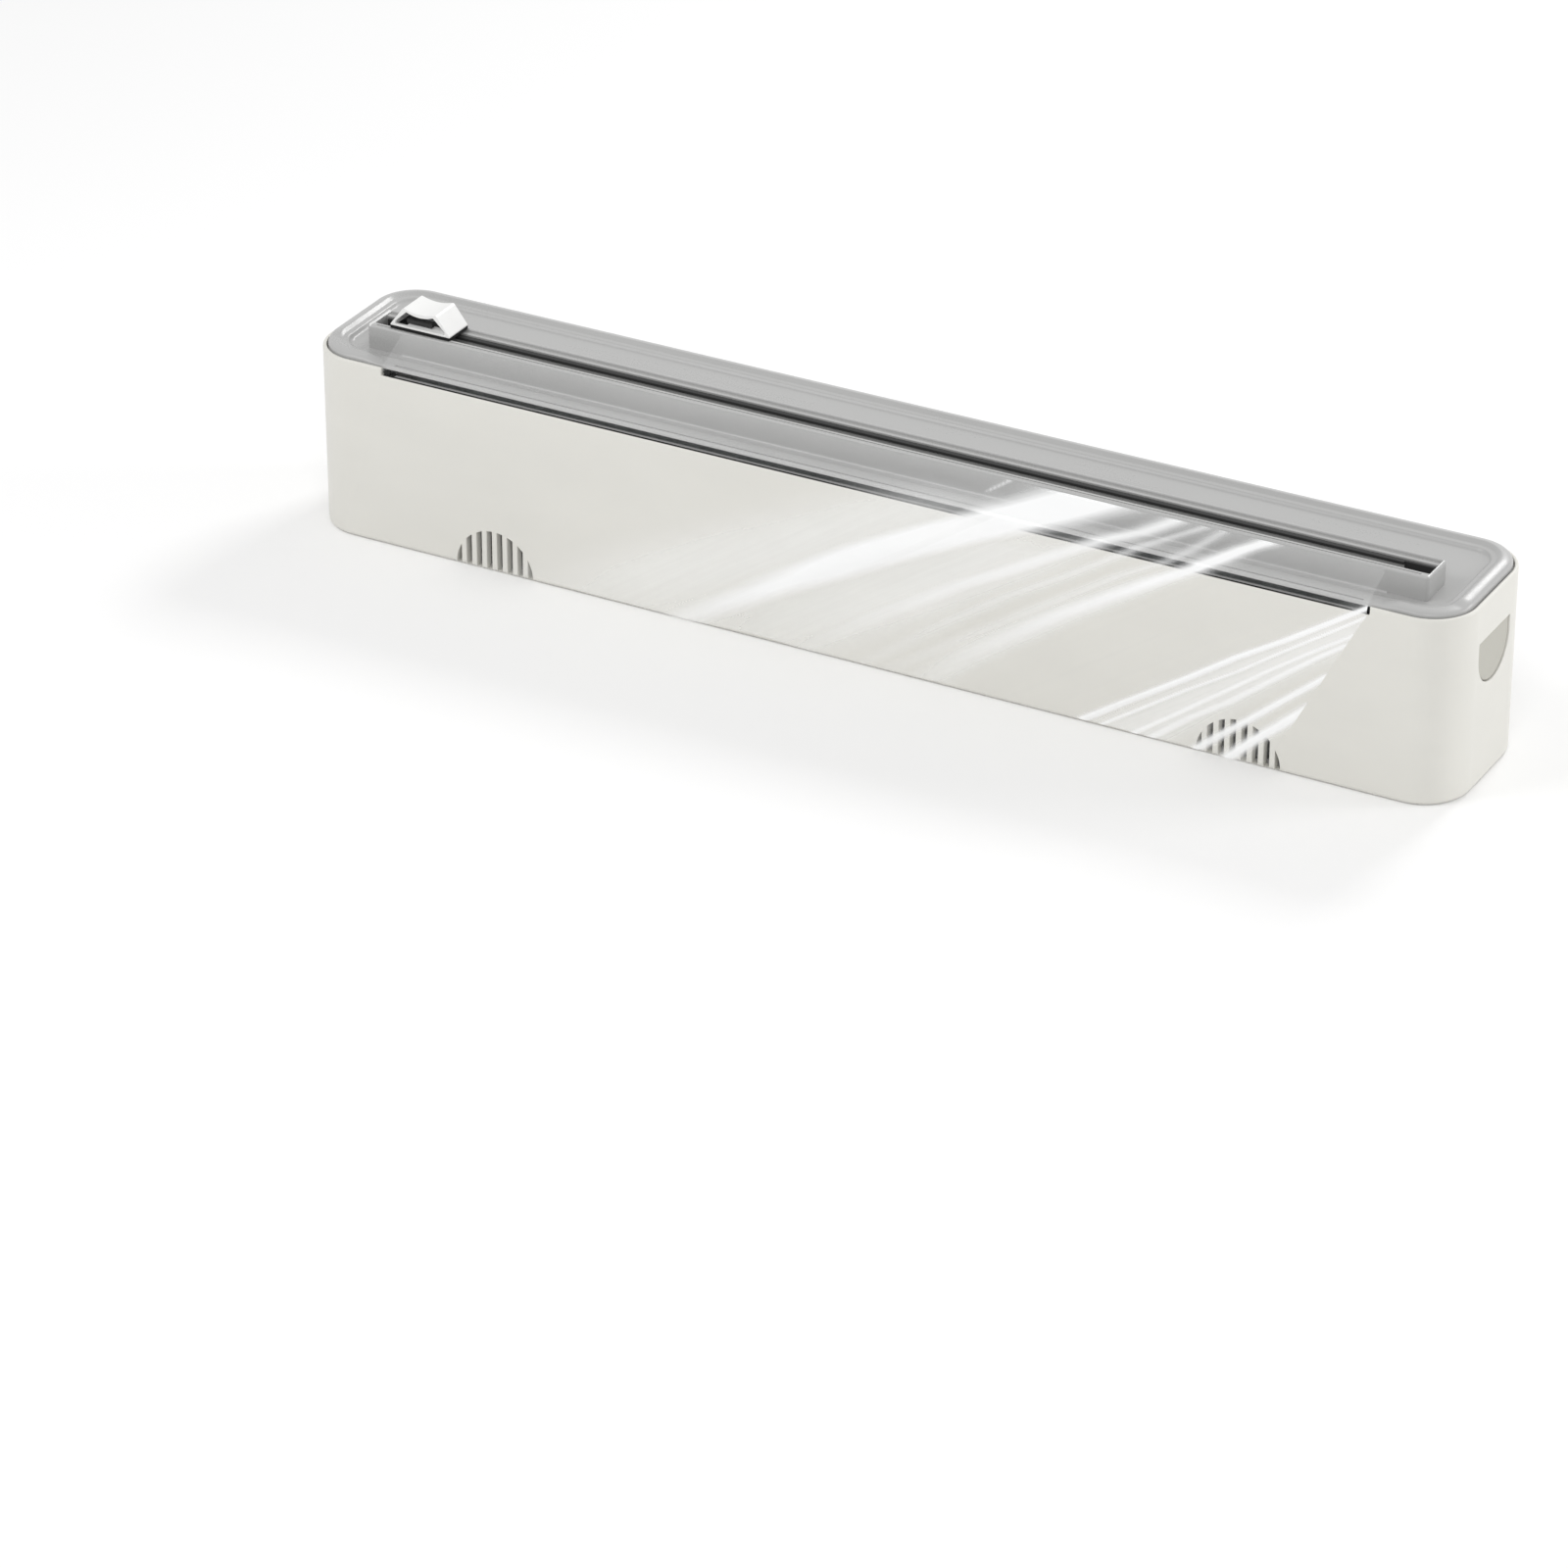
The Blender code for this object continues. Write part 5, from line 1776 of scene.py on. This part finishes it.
@dataclass
class EndParts:
    """What each end holds: push pad, spring tongue and roll bracket."""

    plan: Plan
    shape: PadShape
    pad: MouldedPlastic
    grey: MouldedPlastic
    white: MouldedPlastic
    face_drop: float = 0.0004
    face_round: float = 0.0004
    root: float = 0.0001
    flange: float = 0.0010
    flange_width: float = 0.0013
    nub_radius: float = 0.0024
    nub_length: float = 0.0014
    nub_root: float = 0.0003
    nub_rise: float = 1.75
    nub_tip: float = 0.75

    def layers(self, name: str, side: Side, rows: Sequence[Pair]) -> Item:
        """Skin the pad's outline at (growth, distance from the middle) rows."""
        return loft(name, [[(side.value * along, y, z) for y, z in self.shape.outline(self.plan.height, grow)]
                           for grow, along in rows])

    def push_pad(self, side: Side) -> Item:
        """A D-shaped pad with rounded face edges, a flange and a nub behind it.

        Args:
            side: The end that it is at.

        Returns:
            The pad.
        """
        plan, label, sign, radius = self.plan, side.label, side.value, self.nub_radius
        face, seat = plan.half_length - self.face_drop, plan.inner_length - plan.fit
        back = seat - self.flange
        rows = [(-plan.fit, back + self.root)]
        rows += [(-plan.fit - grow, face - depth) for grow, depth in rounding(self.face_round, 5)]
        pad = self.layers(f"push_pad_{label}", side, rows)
        flange = self.layers(f"pad_flange_{label}", side, [(self.flange_width, along) for along in (back, seat)])
        height = plan.height - self.shape.drop - self.shape.height + self.nub_rise * radius
        nub = lathe(f"pad_nub_{label}", [(radius, sign * (back + self.nub_root)),
                                         (radius, sign * (back - self.nub_length + self.nub_root)),
                                         (self.nub_tip * radius, sign * (back - self.nub_length))],
                    Axis.X, (0.0, 0.0, height), 48)
        return tidy_mesh(bake(boolean(pad, Operation.JOIN, flange, nub)))

    def build(self) -> list[Piece]:
        """Build both ends.

        Returns:
            Their pieces.
        """
        made: list[Piece] = []
        pad_finish, grey, white = self.pad.material(), self.grey.material(), self.white.material()
        for side in Side:
            label = side.label
            pad = Piece(shade(self.push_pad(side)), Body["BUTTON_" + side.name], Slot.PAD,
                        (f"release_button_{label}",))
            tongue = Copy(f"lid_tongue_{label}", f"lid_latch_{label}", 0.0002, 25.0, 3)
            bracket = Copy(f"roll_bracket_{label}", f"roll_cradle_{label}", 0.0002, 35.0, 2)
            made += [pad.place(pad_finish), tongue.build(Body["LATCH_" + side.name], Slot.GREY, grey),
                     bracket.build(Body.BOX, Slot.WHITE, white)]
        return made


@dataclass
class Feet:
    """The two suction cups in the pockets behind the grilles.

    The bell's rows, from inside over its rolled lip and up the outside, are shares of its radius and its height.
    """

    plan: Plan
    pocket: CupPocket
    finish: ClearVinyl
    radius: float = 0.0118
    neck: float = 0.0026
    head: float = 0.0017
    head_width: float = 0.8
    head_ease: Pair = (0.0001, 0.0004)
    shoulder: Pair = (0.40, 0.38)
    shoulder_ease: float = 0.0003
    bell: tuple[Pair, ...] = (
        (0.02, 0.325), (0.30, 0.30), (0.48, 0.255), (0.62, 0.20), (0.75, 0.14), (0.85, 0.085), (0.93, 0.03),
        (0.965, 0.0), (0.985, 0.0), (0.997, 0.010), (1.0, 0.022), (0.995, 0.04), (0.90, 0.14), (0.79, 0.21),
        (0.66, 0.30), (0.54, 0.375), (0.44, 0.46), (0.395, 0.54), (0.38, 0.62), (0.385, 0.72), (0.40, 0.80))

    def cup(self, side: Side) -> Item:
        """A thin bell with a rolled lip, a neck through the pocket's roof and a head above it.

        Args:
            side: The end that it is at.

        Returns:
            The cup.
        """
        r, roof, top, fit = self.radius, self.pocket.height, self.pocket.top, self.plan.fit
        neck, head, big = self.neck, self.head, self.neck + self.head_width * self.head
        small, large = self.head_ease
        profile = [(a * r, b * roof) for a, b in self.bell]
        profile += [(self.shoulder[0] * r, roof - fit - self.shoulder_ease), (self.shoulder[1] * r, roof - fit)]
        profile += [(neck, roof - fit), (neck, top + fit), (big - small, top + fit), (big, top + fit + small),
                    (big, top + 0.60 * head), (big - large, top + 0.80 * head), (neck, top + head),
                    (0.05 * neck, top + head)]
        return lathe(f"suction_foot_{side.label}", profile, Axis.Z,
                     (side.value * self.pocket.x, self.pocket.y, 0.0), 96)

    def build(self) -> list[Piece]:
        """Build both cups.

        Returns:
            The cups.
        """
        vinyl = self.finish.material()
        return [Piece(shade(self.cup(side), 40.0), Body.BOX, Slot.VINYL, (f"suction_cup_{side.label}",)).place(vinyl)
                for side in Side]


@dataclass(frozen=True)
class Crease:
    """A fold of the drawn-out film, with a painted glint along it.

    Its line is given as (length down the film from the fold, x) in millimetres, its width is the half width at its
    start, and spread is how much wider it is at its end. It fades in and out over the lengths in fade, and a larger
    edge makes its sides crisper.
    """

    line: tuple[Pair, ...]
    width: float
    # Strength is the brightness of the painted glint along the fold; height is how far the fold stands off the film.
    strength: float
    spread: float
    fade: Pair
    height: float
    edge: float = 2.0

    def at(self, down: np.ndarray, x: np.ndarray) -> tuple[np.ndarray, np.ndarray]:
        """Brightness of the painted glint and height of the fold.

        Args:
            down: Length down the film at each point, in millimetres.
            x: Place along the box at each point, in millimetres.

        Returns:
            The painted glint's brightness and the fold's height in millimetres.
        """
        lengths, places = zip(*self.line)
        first, last = lengths[0], lengths[-1]
        share = np.clip((down - first) / (last - first), 0.0, 1.0)
        width = self.width * (1.0 + (self.spread - 1.0) * share)
        body = np.exp(-np.abs((x - np.interp(down, lengths, places)) / width) ** self.edge)
        rise = np.clip((down - first) / self.fade[0] + 0.5, 0.0, 1.0)
        fall = np.clip((last - down) / self.fade[1], 0.0, 1.0)
        body = body * rise * fall * fall * (3 - 2 * fall)
        return self.strength * body, self.height * body


@dataclass
class Film:
    """The film outside the roll: the feed inside the box and the drawn-out leaf.

    The leaf is drawn to the left as it falls, by pull at its left edge and more towards the right. Two slanting waves
    lift it off the box's front, and the folds lie on top of them, each with a painted glint.
    """

    plan: Plan
    lid: Lid
    roll: Roll
    finish: ClearFilm
    thickness: float = 0.0003
    hem: float = 0.0020
    stretch: float = 0.0133
    columns: tuple[int, int] = (230, 270)
    dense_from: float = 0.040
    row: float = 0.0005
    feed_wrap: float = 50.0
    feed_setback: float = 0.0012
    feed_ripple: Pair = (0.00012, 0.031)
    feed_veil: float = 0.5
    lip_reach: float = 0.0022
    lip_round: float = 0.0010
    fold_drop: float = 0.0005
    fold_steps: int = 8
    front_turn: float = 0.0026
    front_angle: float = 116.0
    pull: Pair = (0.25, 0.27)
    hangs_from: float = 5.0
    wave_slant: float = 1.48
    wave_pitch: float = 0.060
    waves: Pair = (0.32, 0.18)
    second_wave: Pair = (1.7, 0.2)
    wave_start: float = 0.002
    wave_growth: float = 0.8
    wave_lift: Pair = (0.0005, 0.0016)
    crease_rise: float = 0.012
    outside_from: float = -0.2
    # Painted sheen: fine white lines that grow stronger to the right, and a whiter taut part over the ramp.
    veil: Pair = (0.08, 0.6)
    veil_range: Pair = (-30.0, 150.0)
    drawn_slant: float = 1.5
    taut_haze: float = 0.075
    taut_end: Pair = (13.0, 2.0)
    # Folds of the leaf, each with a painted glint where it would catch the light.
    creases: tuple[Crease, ...] = (
        Crease(((-0.1, 65.0), (8.1, 53.4), (12.9, 45.4), (21.8, 26.1), (31.9, 6.2), (49.2, -24.1),
                (57.5, -38.3), (74.0, -65.0)), 11.5, 1.4, 0.70, (0.8, 46.0), 0.3, 2.6),
        Crease(((-0.1, 65.0), (8.1, 53.4), (12.9, 45.4), (21.8, 26.1), (31.9, 6.2), (40.4, -8.9), (49.2, -24.1),
                (57.5, -38.3), (100.0, -108.7)), 5.0, 1.15, 2.0, (0.8, 66.0), 0.3),
        Crease(((4.0, 57.0), (12.9, 43.4), (21.8, 24.1), (31.9, 4.2), (40.4, -10.9), (49.2, -26.1),
                (57.5, -40.3), (100.0, -110.0)), 15.0, 0.42, 1.3, (6.0, 70.0), 0.2, 2.2),
        Crease(((10.0, 32.0), (21.8, 6.0), (31.9, -14.0), (49.2, -48.0), (57.5, -62.0), (100.0, -133.0)),
               20.0, 0.38, 1.6, (12.0, 50.0), 0.0, 2.4),
        Crease(((16.0, 56.0), (27.0, 36.0), (40.0, 12.0), (57.5, -17.0), (100.0, -88.0)),
               19.0, 0.36, 1.2, (10.0, 50.0), 0.0, 2.8),
        Crease(((11.0, 40.0), (25.2, 6.1), (38.3, -25.2), (80.0, -98.0)), 9.0, 0.30, 1.4, (6.0, 54.0), 0.2),
        Crease(((14.0, 68.0), (23.2, 55.9), (40.6, 26.7), (100.0, -65.0)), 8.0, 0.36, 1.6, (6.0, 66.0), 0.2),
        Crease(((-1.0, 92.3), (6.3, 84.0), (13.7, 71.2), (18.9, 61.7), (27.3, 47.2), (35.3, 32.5), (50.1, 8.7),
                (100.0, -66.0)), 3.2, 0.80, 2.6, (0.8, 84.0), 0.3),
        Crease(((-0.4, 100.2), (8.4, 88.7), (12.9, 82.7), (17.6, 75.4), (26.1, 62.0), (35.1, 46.6), (48.6, 26.9),
                (100.0, -42.0)), 1.6, 0.45, 3.2, (0.8, 80.0), 0.2),
        Crease(((-0.9, 105.7), (9.1, 98.5), (13.0, 94.3), (21.3, 79.4), (32.5, 62.2), (46.0, 42.0),
                (100.0, -38.8)), 1.6, 0.40, 3.2, (0.8, 80.0), 0.2),
        Crease(((-1.0, 119.3), (4.0, 112.7), (10.4, 106.0), (13.4, 102.2), (19.6, 90.9), (28.3, 76.7),
                (37.1, 62.4), (50.6, 42.8), (57.8, 33.1), (100.0, -14.0)), 2.5, 1.1, 3.4, (0.8, 96.0), 0.4),
        Crease(((-0.6, 118.8), (6.0, 110.5)), 3.2, 1.0, 0.8, (0.5, 5.0), 0.3),
        Crease(((-1.0, 42.0), (7.0, 35.1)), 0.7, 0.5, 1.0, (0.5, 3.0), 0.2),
        Crease(((12.2, 153.1), (27.7, 129.6), (36.2, 115.7), (45.9, 101.7), (58.3, 82.9), (68.0, 68.6)),
               1.2, 1.3, 1.5, (0.5, 1.0), 0.5),
        Crease(((14.7, 153.3), (30.6, 129.8), (40.5, 115.9), (49.4, 101.9), (58.3, 88.8), (68.0, 74.5)),
               0.9, 1.0, 1.3, (0.5, 1.0), 0.4),
        Crease(((21.0, 149.7), (27.9, 139.3), (37.5, 125.6), (48.0, 111.7), (58.4, 97.6), (68.0, 84.4)),
               1.2, 1.0, 1.3, (0.5, 1.0), 0.5),
        Crease(((24.4, 147.6), (30.2, 139.5), (40.9, 125.7), (50.5, 113.5), (58.1, 102.2), (68.0, 89.8)),
               1.6, 0.9, 1.4, (0.5, 1.0), 0.4),
        Crease(((34.9, 142.6), (45.0, 130.5), (55.1, 118.7), (68.0, 103.0)), 1.4, 1.2, 1.3, (0.5, 1.0), 0.5),
        Crease(((44.7, 138.5), (53.2, 129.2), (59.6, 121.8), (68.0, 113.0)), 1.9, 1.2, 1.2, (0.5, 1.0), 0.5),
        Crease(((16.0, 153.0), (30.0, 135.0), (42.9, 116.0), (69.0, 82.0)), 7.0, 0.46, 1.9, (10.0, 2.0), 0.2, 3.0),
    )

    def feed_path(self) -> list[Pair]:
        """The film inside: off the front of the roll and up to the outlet.

        Returns:
            The path in (y, z).
        """
        plan, height = self.plan, self.roll.height
        radius = self.roll.radius + plan.fit + self.thickness / 2
        end = (-plan.half_depth + plan.wall + self.feed_setback, plan.notch_floor)
        span = math.hypot(end[0], end[1] - height)
        touch = math.degrees(math.atan2(end[1] - height, end[0]) + math.acos(min(radius / span, 0.98)))
        return arc((0.0, height), radius, touch + self.feed_wrap, touch, 20) + [end]

    def leaf_path(self) -> tuple[list[Pair], int]:
        """The film outside: out under the lip, up the ramp, folded back at the rail, taut to the lip and down.

        Returns:
            The path in (y, z), and the place of the fold in it.
        """
        plan, lid, bead, turn = self.plan, self.lid, self.lip_round, self.front_turn
        clear = plan.fit + self.thickness / 2
        second = clear + 2 * self.thickness
        lip_y = -plan.half_depth + plan.rim + plan.fit
        gap = (plan.notch_floor + plan.panel - lid.lip) / 2
        front = -plan.half_depth - clear
        path = [(lip_y + self.lip_reach, gap), (lip_y, gap), (lip_y - clear, plan.panel - lid.lip)]
        path += arc((lip_y + bead, plan.panel - bead), bead + clear, 180.0, 90.0, 8)
        path += arc((lid.rail_front - lid.ramp, plan.panel + lid.ramp), lid.ramp - clear, -90.0, 0.0, 12)
        path += arc((lid.rail_front - (clear + second) / 2, lid.rail_top - self.fold_drop), (second - clear) / 2,
                    0.0, 180.0, self.fold_steps)
        fold = len(path) - 1 - self.fold_steps // 2
        path += arc((front + turn, plan.panel + second - turn), turn, self.front_angle, 180.0, 10)
        path.append((front, self.hem))
        return path, fold

    def fine(self, path: list[Pair], fold: int = 0) -> tuple[np.ndarray, np.ndarray]:
        """Split long steps of a path.

        Args:
            path: The path.
            fold: Place in it from which lengths count.

        Returns:
            The finer path, and the length at each of its points.
        """
        points, start = [path[0]], 0
        for number, (a, b) in enumerate(zip(path, path[1:])):
            parts = max(math.ceil(math.dist(a, b) / self.row), 1)
            points += [(a[0] + (b[0] - a[0]) * part / parts, a[1] + (b[1] - a[1]) * part / parts)
                       for part in range(1, parts + 1)]
            if number + 1 == fold:
                start = len(points) - 1
        spots = np.array(points)
        lengths = np.concatenate(([0.0], np.cumsum(np.linalg.norm(np.diff(spots, axis=0), axis=1))))
        return spots, lengths - lengths[start]

    def sheet(self, name: str, points: np.ndarray, drawn: np.ndarray, **looks: np.ndarray) -> Item:
        """Make a film sheet from a grid of points.

        Args:
            name: The sheet's name.
            points: Points as rows, columns and x, y, z.
            drawn: The film's own map: across and along its drawn direction.
            looks: What its finish reads at each point: painted glint, painted line sheen and painted taut sheen.

        Returns:
            The sheet.
        """
        rows, columns = points.shape[:2]
        index = np.arange(rows * columns).reshape(rows, columns)
        quads = np.stack((index[:-1, :-1], index[:-1, 1:], index[1:, 1:], index[1:, :-1]), -1).reshape(-1, 4)
        mesh = bpy.data.meshes.new(name)
        mesh.from_pydata(points.reshape(-1, 3).tolist(), [], quads.tolist())
        for label, values in looks.items():
            held = mesh.attributes.new(label, "FLOAT", "POINT")
            held.data.foreach_set("value", values.astype(np.float32).ravel())
        layer = mesh.uv_layers.new(name="drawn")
        layer.data.foreach_set("uv", drawn.reshape(-1, 2)[quads.ravel()].astype(np.float32).ravel())
        mesh.shade_smooth()
        return link(name, mesh)

    def leaf(self) -> tuple[Item, float]:
        """The drawn-out film.

        Returns:
            The sheet and its length when laid flat.
        """
        half, floor = self.roll.half, self.plan.notch_floor
        path, down = self.fine(*self.leaf_path())
        wide, dense = self.columns
        start = np.concatenate((np.linspace(-half, self.dense_from, wide, endpoint=False),
                                np.linspace(self.dense_from, half, dense + 1)))
        y, z = path[:, :1] + 0 * start, path[:, 1:] + 0 * start
        down_mm = down[:, None] * 1000.0 + 0 * start
        drop = np.where(down_mm > self.hangs_from, np.maximum(floor - z, 0.0), 0.0)
        x = (1.0 + self.stretch) * start - (self.pull[0] + self.pull[1] * (start + half) / (2 * half)) * drop
        slant = (start - self.wave_slant * z) / self.wave_pitch
        closer, later = self.second_wave
        wave = (0.5 + self.waves[0] * np.sin(2 * np.pi * slant)
                + self.waves[1] * np.sin(2 * np.pi * (closer * slant + later)))
        share = np.clip((drop - self.wave_start) / (floor - self.hem), 0.0, 1.0)
        lift = share ** self.wave_growth * (self.wave_lift[0] + self.wave_lift[1] * wave)
        # Painted glints: white laid along the folds where they would catch the light.
        crease, height = np.zeros_like(x), np.zeros_like(x)
        for line in self.creases:
            bright, high = line.at(down_mm, x * 1000.0)
            crease, height = np.maximum(crease, bright), height + high
        outside = down_mm > self.outside_from
        crease = np.clip(np.where(outside, crease, 0.0), 0.0, 1.0)
        lift += np.where(outside, height, 0.0) * MM * np.clip(drop / self.crease_rise, 0.0, 1.0)
        # Painted sheen: fine white lines stronger to the right, and a whiter taut part over the ramp.
        first, span = self.veil_range
        veil = self.veil[0] + self.veil[1] * np.clip((x * 1000.0 - first) / span, 0.0, 1.0)
        haze = self.taut_haze * np.clip((self.taut_end[0] - down_mm) / self.taut_end[1], 0.0, 1.0)
        drawn = np.stack((x + self.drawn_slant * down[:, None], down[:, None] + 0 * start), -1)
        sheet = self.sheet("drawn_film", np.stack((x, y - lift, z), -1), drawn, crease=crease,
                           veil=np.where(outside, veil, 0.0), haze=np.where(outside, haze, 0.0))
        return sheet, float(down[-1] - down[0])

    def feed(self) -> tuple[Item, float]:
        """The film between the roll and the outlet.

        Returns:
            The sheet and its length when laid flat.
        """
        path, down = self.fine(self.feed_path())
        size, pitch = self.feed_ripple
        x = np.linspace(-self.roll.half, self.roll.half, self.columns[0] + 1) + 0 * path[:, :1]
        y, z = path[:, :1] + 0 * x, path[:, 1:] + 0 * x
        ripple = size * np.sin(2 * np.pi * x / pitch) * np.sin(np.pi * np.clip(down / down[-1], 0, 1))[:, None]
        drawn = np.stack((x, down[:, None] + 0 * x), -1)
        none = np.zeros_like(x)
        # The feed gets the same painted sheen on its fine lines.
        sheet = self.sheet("feed_film", np.stack((x, y - ripple, z), -1), drawn, crease=none,
                           veil=none + self.feed_veil, haze=none)
        return sheet, float(down[-1])

    def build(self) -> list[Piece]:
        """Build and dress both sheets; clear film throws no shadow on the box behind it.

        Returns:
            The leaf and the feed.
        """
        clear, width = self.finish.material(), 2 * self.roll.half
        item, length = self.leaf()
        leaf = Piece(item, Body.LID, Slot.CLEAR, ("film_leaf",)).place(clear)
        item.visible_shadow = item.visible_diffuse = False
        item, length = self.feed()
        feed = Piece(item, Body.BOX, Slot.CLEAR, ("film_feed",)).place(clear, False)
        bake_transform(item)
        return [leaf, feed]


# Studio


@dataclass(frozen=True)
class Softbox:
    """A square lamp that looks at the box."""

    name: str
    towards: Point
    distance: float
    size: float
    power: float

    def build(self) -> None:
        """Hang the lamp."""
        lamp = bpy.data.lights.new(self.name, "AREA")
        lamp.shape, lamp.size, lamp.energy = "SQUARE", self.size, self.power
        way = Vector(self.towards).normalized()
        turned = way.to_track_quat("Z", "Y").to_matrix().to_4x4()
        link(self.name, lamp).matrix_world = Matrix.Translation(way * self.distance) @ turned


@dataclass(frozen=True)
class Studio:
    """Pale floor, soft lamps, white surround and the camera."""

    azimuth: float = 28.72
    elevation: float = 28.98
    lens: float = 149.47
    sensor: float = 36.0
    shift_right: float = 0.03216
    shift_up: float = 0.04387
    distance: float = 1.8193
    clip: Pair = (0.05, 30.0)
    ambient: float = 0.62
    white: tuple[float, ...] = (1.0, 1.0, 1.0, 1.0)
    floor_half: float = 4.0
    floor_corner: float = 1.0
    floor_finish: PaleFloor = PaleFloor("pale_floor")
    lamps: tuple[Softbox, ...] = (
        Softbox("key_light", (0.35, -0.70, 0.62), 1.5, 0.50, 3.2),
        Softbox("end_light", (0.85, 0.45, 0.28), 1.5, 0.50, 5.3),
        Softbox("edge_light", (0.12, 0.767, 0.63), 1.5, 0.40, 5.8),
        Softbox("front_light", (-0.42, -0.48, 0.77), 1.05, 0.45, 2.45),
    )

    def camera(self) -> None:
        """Set the camera where the picture was taken from."""
        turn, rise = math.radians(self.azimuth), math.radians(self.elevation)
        right = Vector((math.cos(turn), math.sin(turn), 0.0))
        back = Vector((math.sin(turn) * math.cos(rise), -math.cos(turn) * math.cos(rise), math.sin(rise)))
        up = back.cross(right)
        spot = back * self.distance - right * self.shift_right - up * self.shift_up
        data = bpy.data.cameras.new("camera")
        data.lens, data.sensor_width, data.sensor_fit = self.lens, self.sensor, "HORIZONTAL"
        data.clip_start, data.clip_end = self.clip
        item = link("camera", data)
        item.matrix_world = Matrix.Translation(spot) @ Matrix((right, up, back)).transposed().to_4x4()
        bpy.context.scene.camera = item

    def world(self) -> None:
        """White for the camera and in reflections, and an even softer light on everything."""
        world = bpy.data.worlds.new("surround")
        bpy.context.scene.world = world
        world.use_nodes = True
        graph, even = Graph(world.node_tree), world.node_tree.nodes["Background"]
        even.inputs["Color"].default_value, even.inputs["Strength"].default_value = self.white, self.ambient
        ray = graph.node("LightPath").outputs
        white = graph.node("Background", {"Color": self.white, "Strength": 1.0})
        seen = graph.math("MAXIMUM", ray["Is Camera Ray"], ray["Is Glossy Ray"])
        seen = graph.math("MAXIMUM", seen, ray["Is Transmission Ray"])
        light = graph.node("MixShader", {0: seen, 1: even.outputs[0], 2: white.outputs[0]}).outputs[0]
        graph.feed(world.node_tree.nodes["World Output"].inputs["Surface"], light)

    def floor(self) -> None:
        """A wide pale floor that keeps the box's shadow."""
        outline = rounded_outline(self.floor_half, self.floor_half, self.floor_corner, steps=12)
        mesh = bpy.data.meshes.new("floor")
        mesh.from_pydata([(x, y, 0.0) for x, y in outline], [], [tuple(range(len(outline)))])
        mesh.materials.append(self.floor_finish.material())
        link("floor", mesh)

    def build(self) -> None:
        """Set up the whole studio."""
        bpy.context.scene.view_settings.view_transform = "Standard"
        self.camera()
        self.world()
        self.floor()
        for lamp in self.lamps:
            lamp.build()


@dataclass(frozen=True)
class Dispenser:
    """The whole part: its finishes, and its sub-assemblies in the order in which they are dressed."""

    white: MouldedPlastic = MouldedPlastic("satin_white", (0.715, 0.705, 0.66), 0.42)
    grey: MouldedPlastic = MouldedPlastic("gloss_grey", (0.435, 0.435, 0.43), 0.30, 6e-6)
    pad: MouldedPlastic = MouldedPlastic("satin_pad", (0.46, 0.45, 0.40), 0.48)
    # Dark plastic of the track and foot, set darker still to paint the deep shade in the track's end pockets.
    dark: MouldedPlastic = MouldedPlastic("dark_track", (0.04, 0.04, 0.04), 0.60, specular=0.15)
    # Black that paints shade: in the outlet, and in the gap under the cutter's saddle.
    black: MouldedPlastic = MouldedPlastic("black_seal", (0.012, 0.012, 0.012), 0.6, specular=0.15)
    # Grey: in the outlet it paints the shade on the white floor under the lip; in the track it is the grey floor.
    strip: MouldedPlastic = MouldedPlastic("grey_strip", (0.40, 0.40, 0.395), 0.5)
    saddle: MouldedPlastic = MouldedPlastic("gloss_white", (0.84, 0.84, 0.83), 0.32, 6e-6)

    def assemblies(self) -> list[SubAssembly]:
        """Every sub-assembly, with the shapes that they share.

        Returns:
            The sub-assemblies, in order.
        """
        plan, pocket, pad = Plan.from_frame(), CupPocket(), PadShape()
        lid = Lid(plan, self.grey)
        roll = Roll(WoundFilm("wound_film"), WoundCard("wound_card"), self.grey)
        return [Box(plan, pocket, pad, self.white, self.strip, self.black), lid,
                Track(lid, self.dark, self.strip),
                Cutter(lid, self.saddle, self.dark, self.black, GroundSteel("ground_steel")), roll,
                EndParts(plan, pad, self.pad, self.grey, self.white),
                Feet(plan, pocket, ClearVinyl("clear_vinyl")), Film(plan, lid, roll, ClearFilm("cling_film"))]


def main() -> None:
    """Set up the studio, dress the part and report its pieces."""
    logging.basicConfig(level=logging.INFO, format="%(name)s: %(message)s")
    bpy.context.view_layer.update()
    Studio().build()
    for assembly in Dispenser().assemblies():
        for piece in assembly.build():
            LOG.info("%s: %d points on %s", piece.item.name, len(piece.item.data.vertices), piece.body.value)


if __name__ == "__main__":
    main()
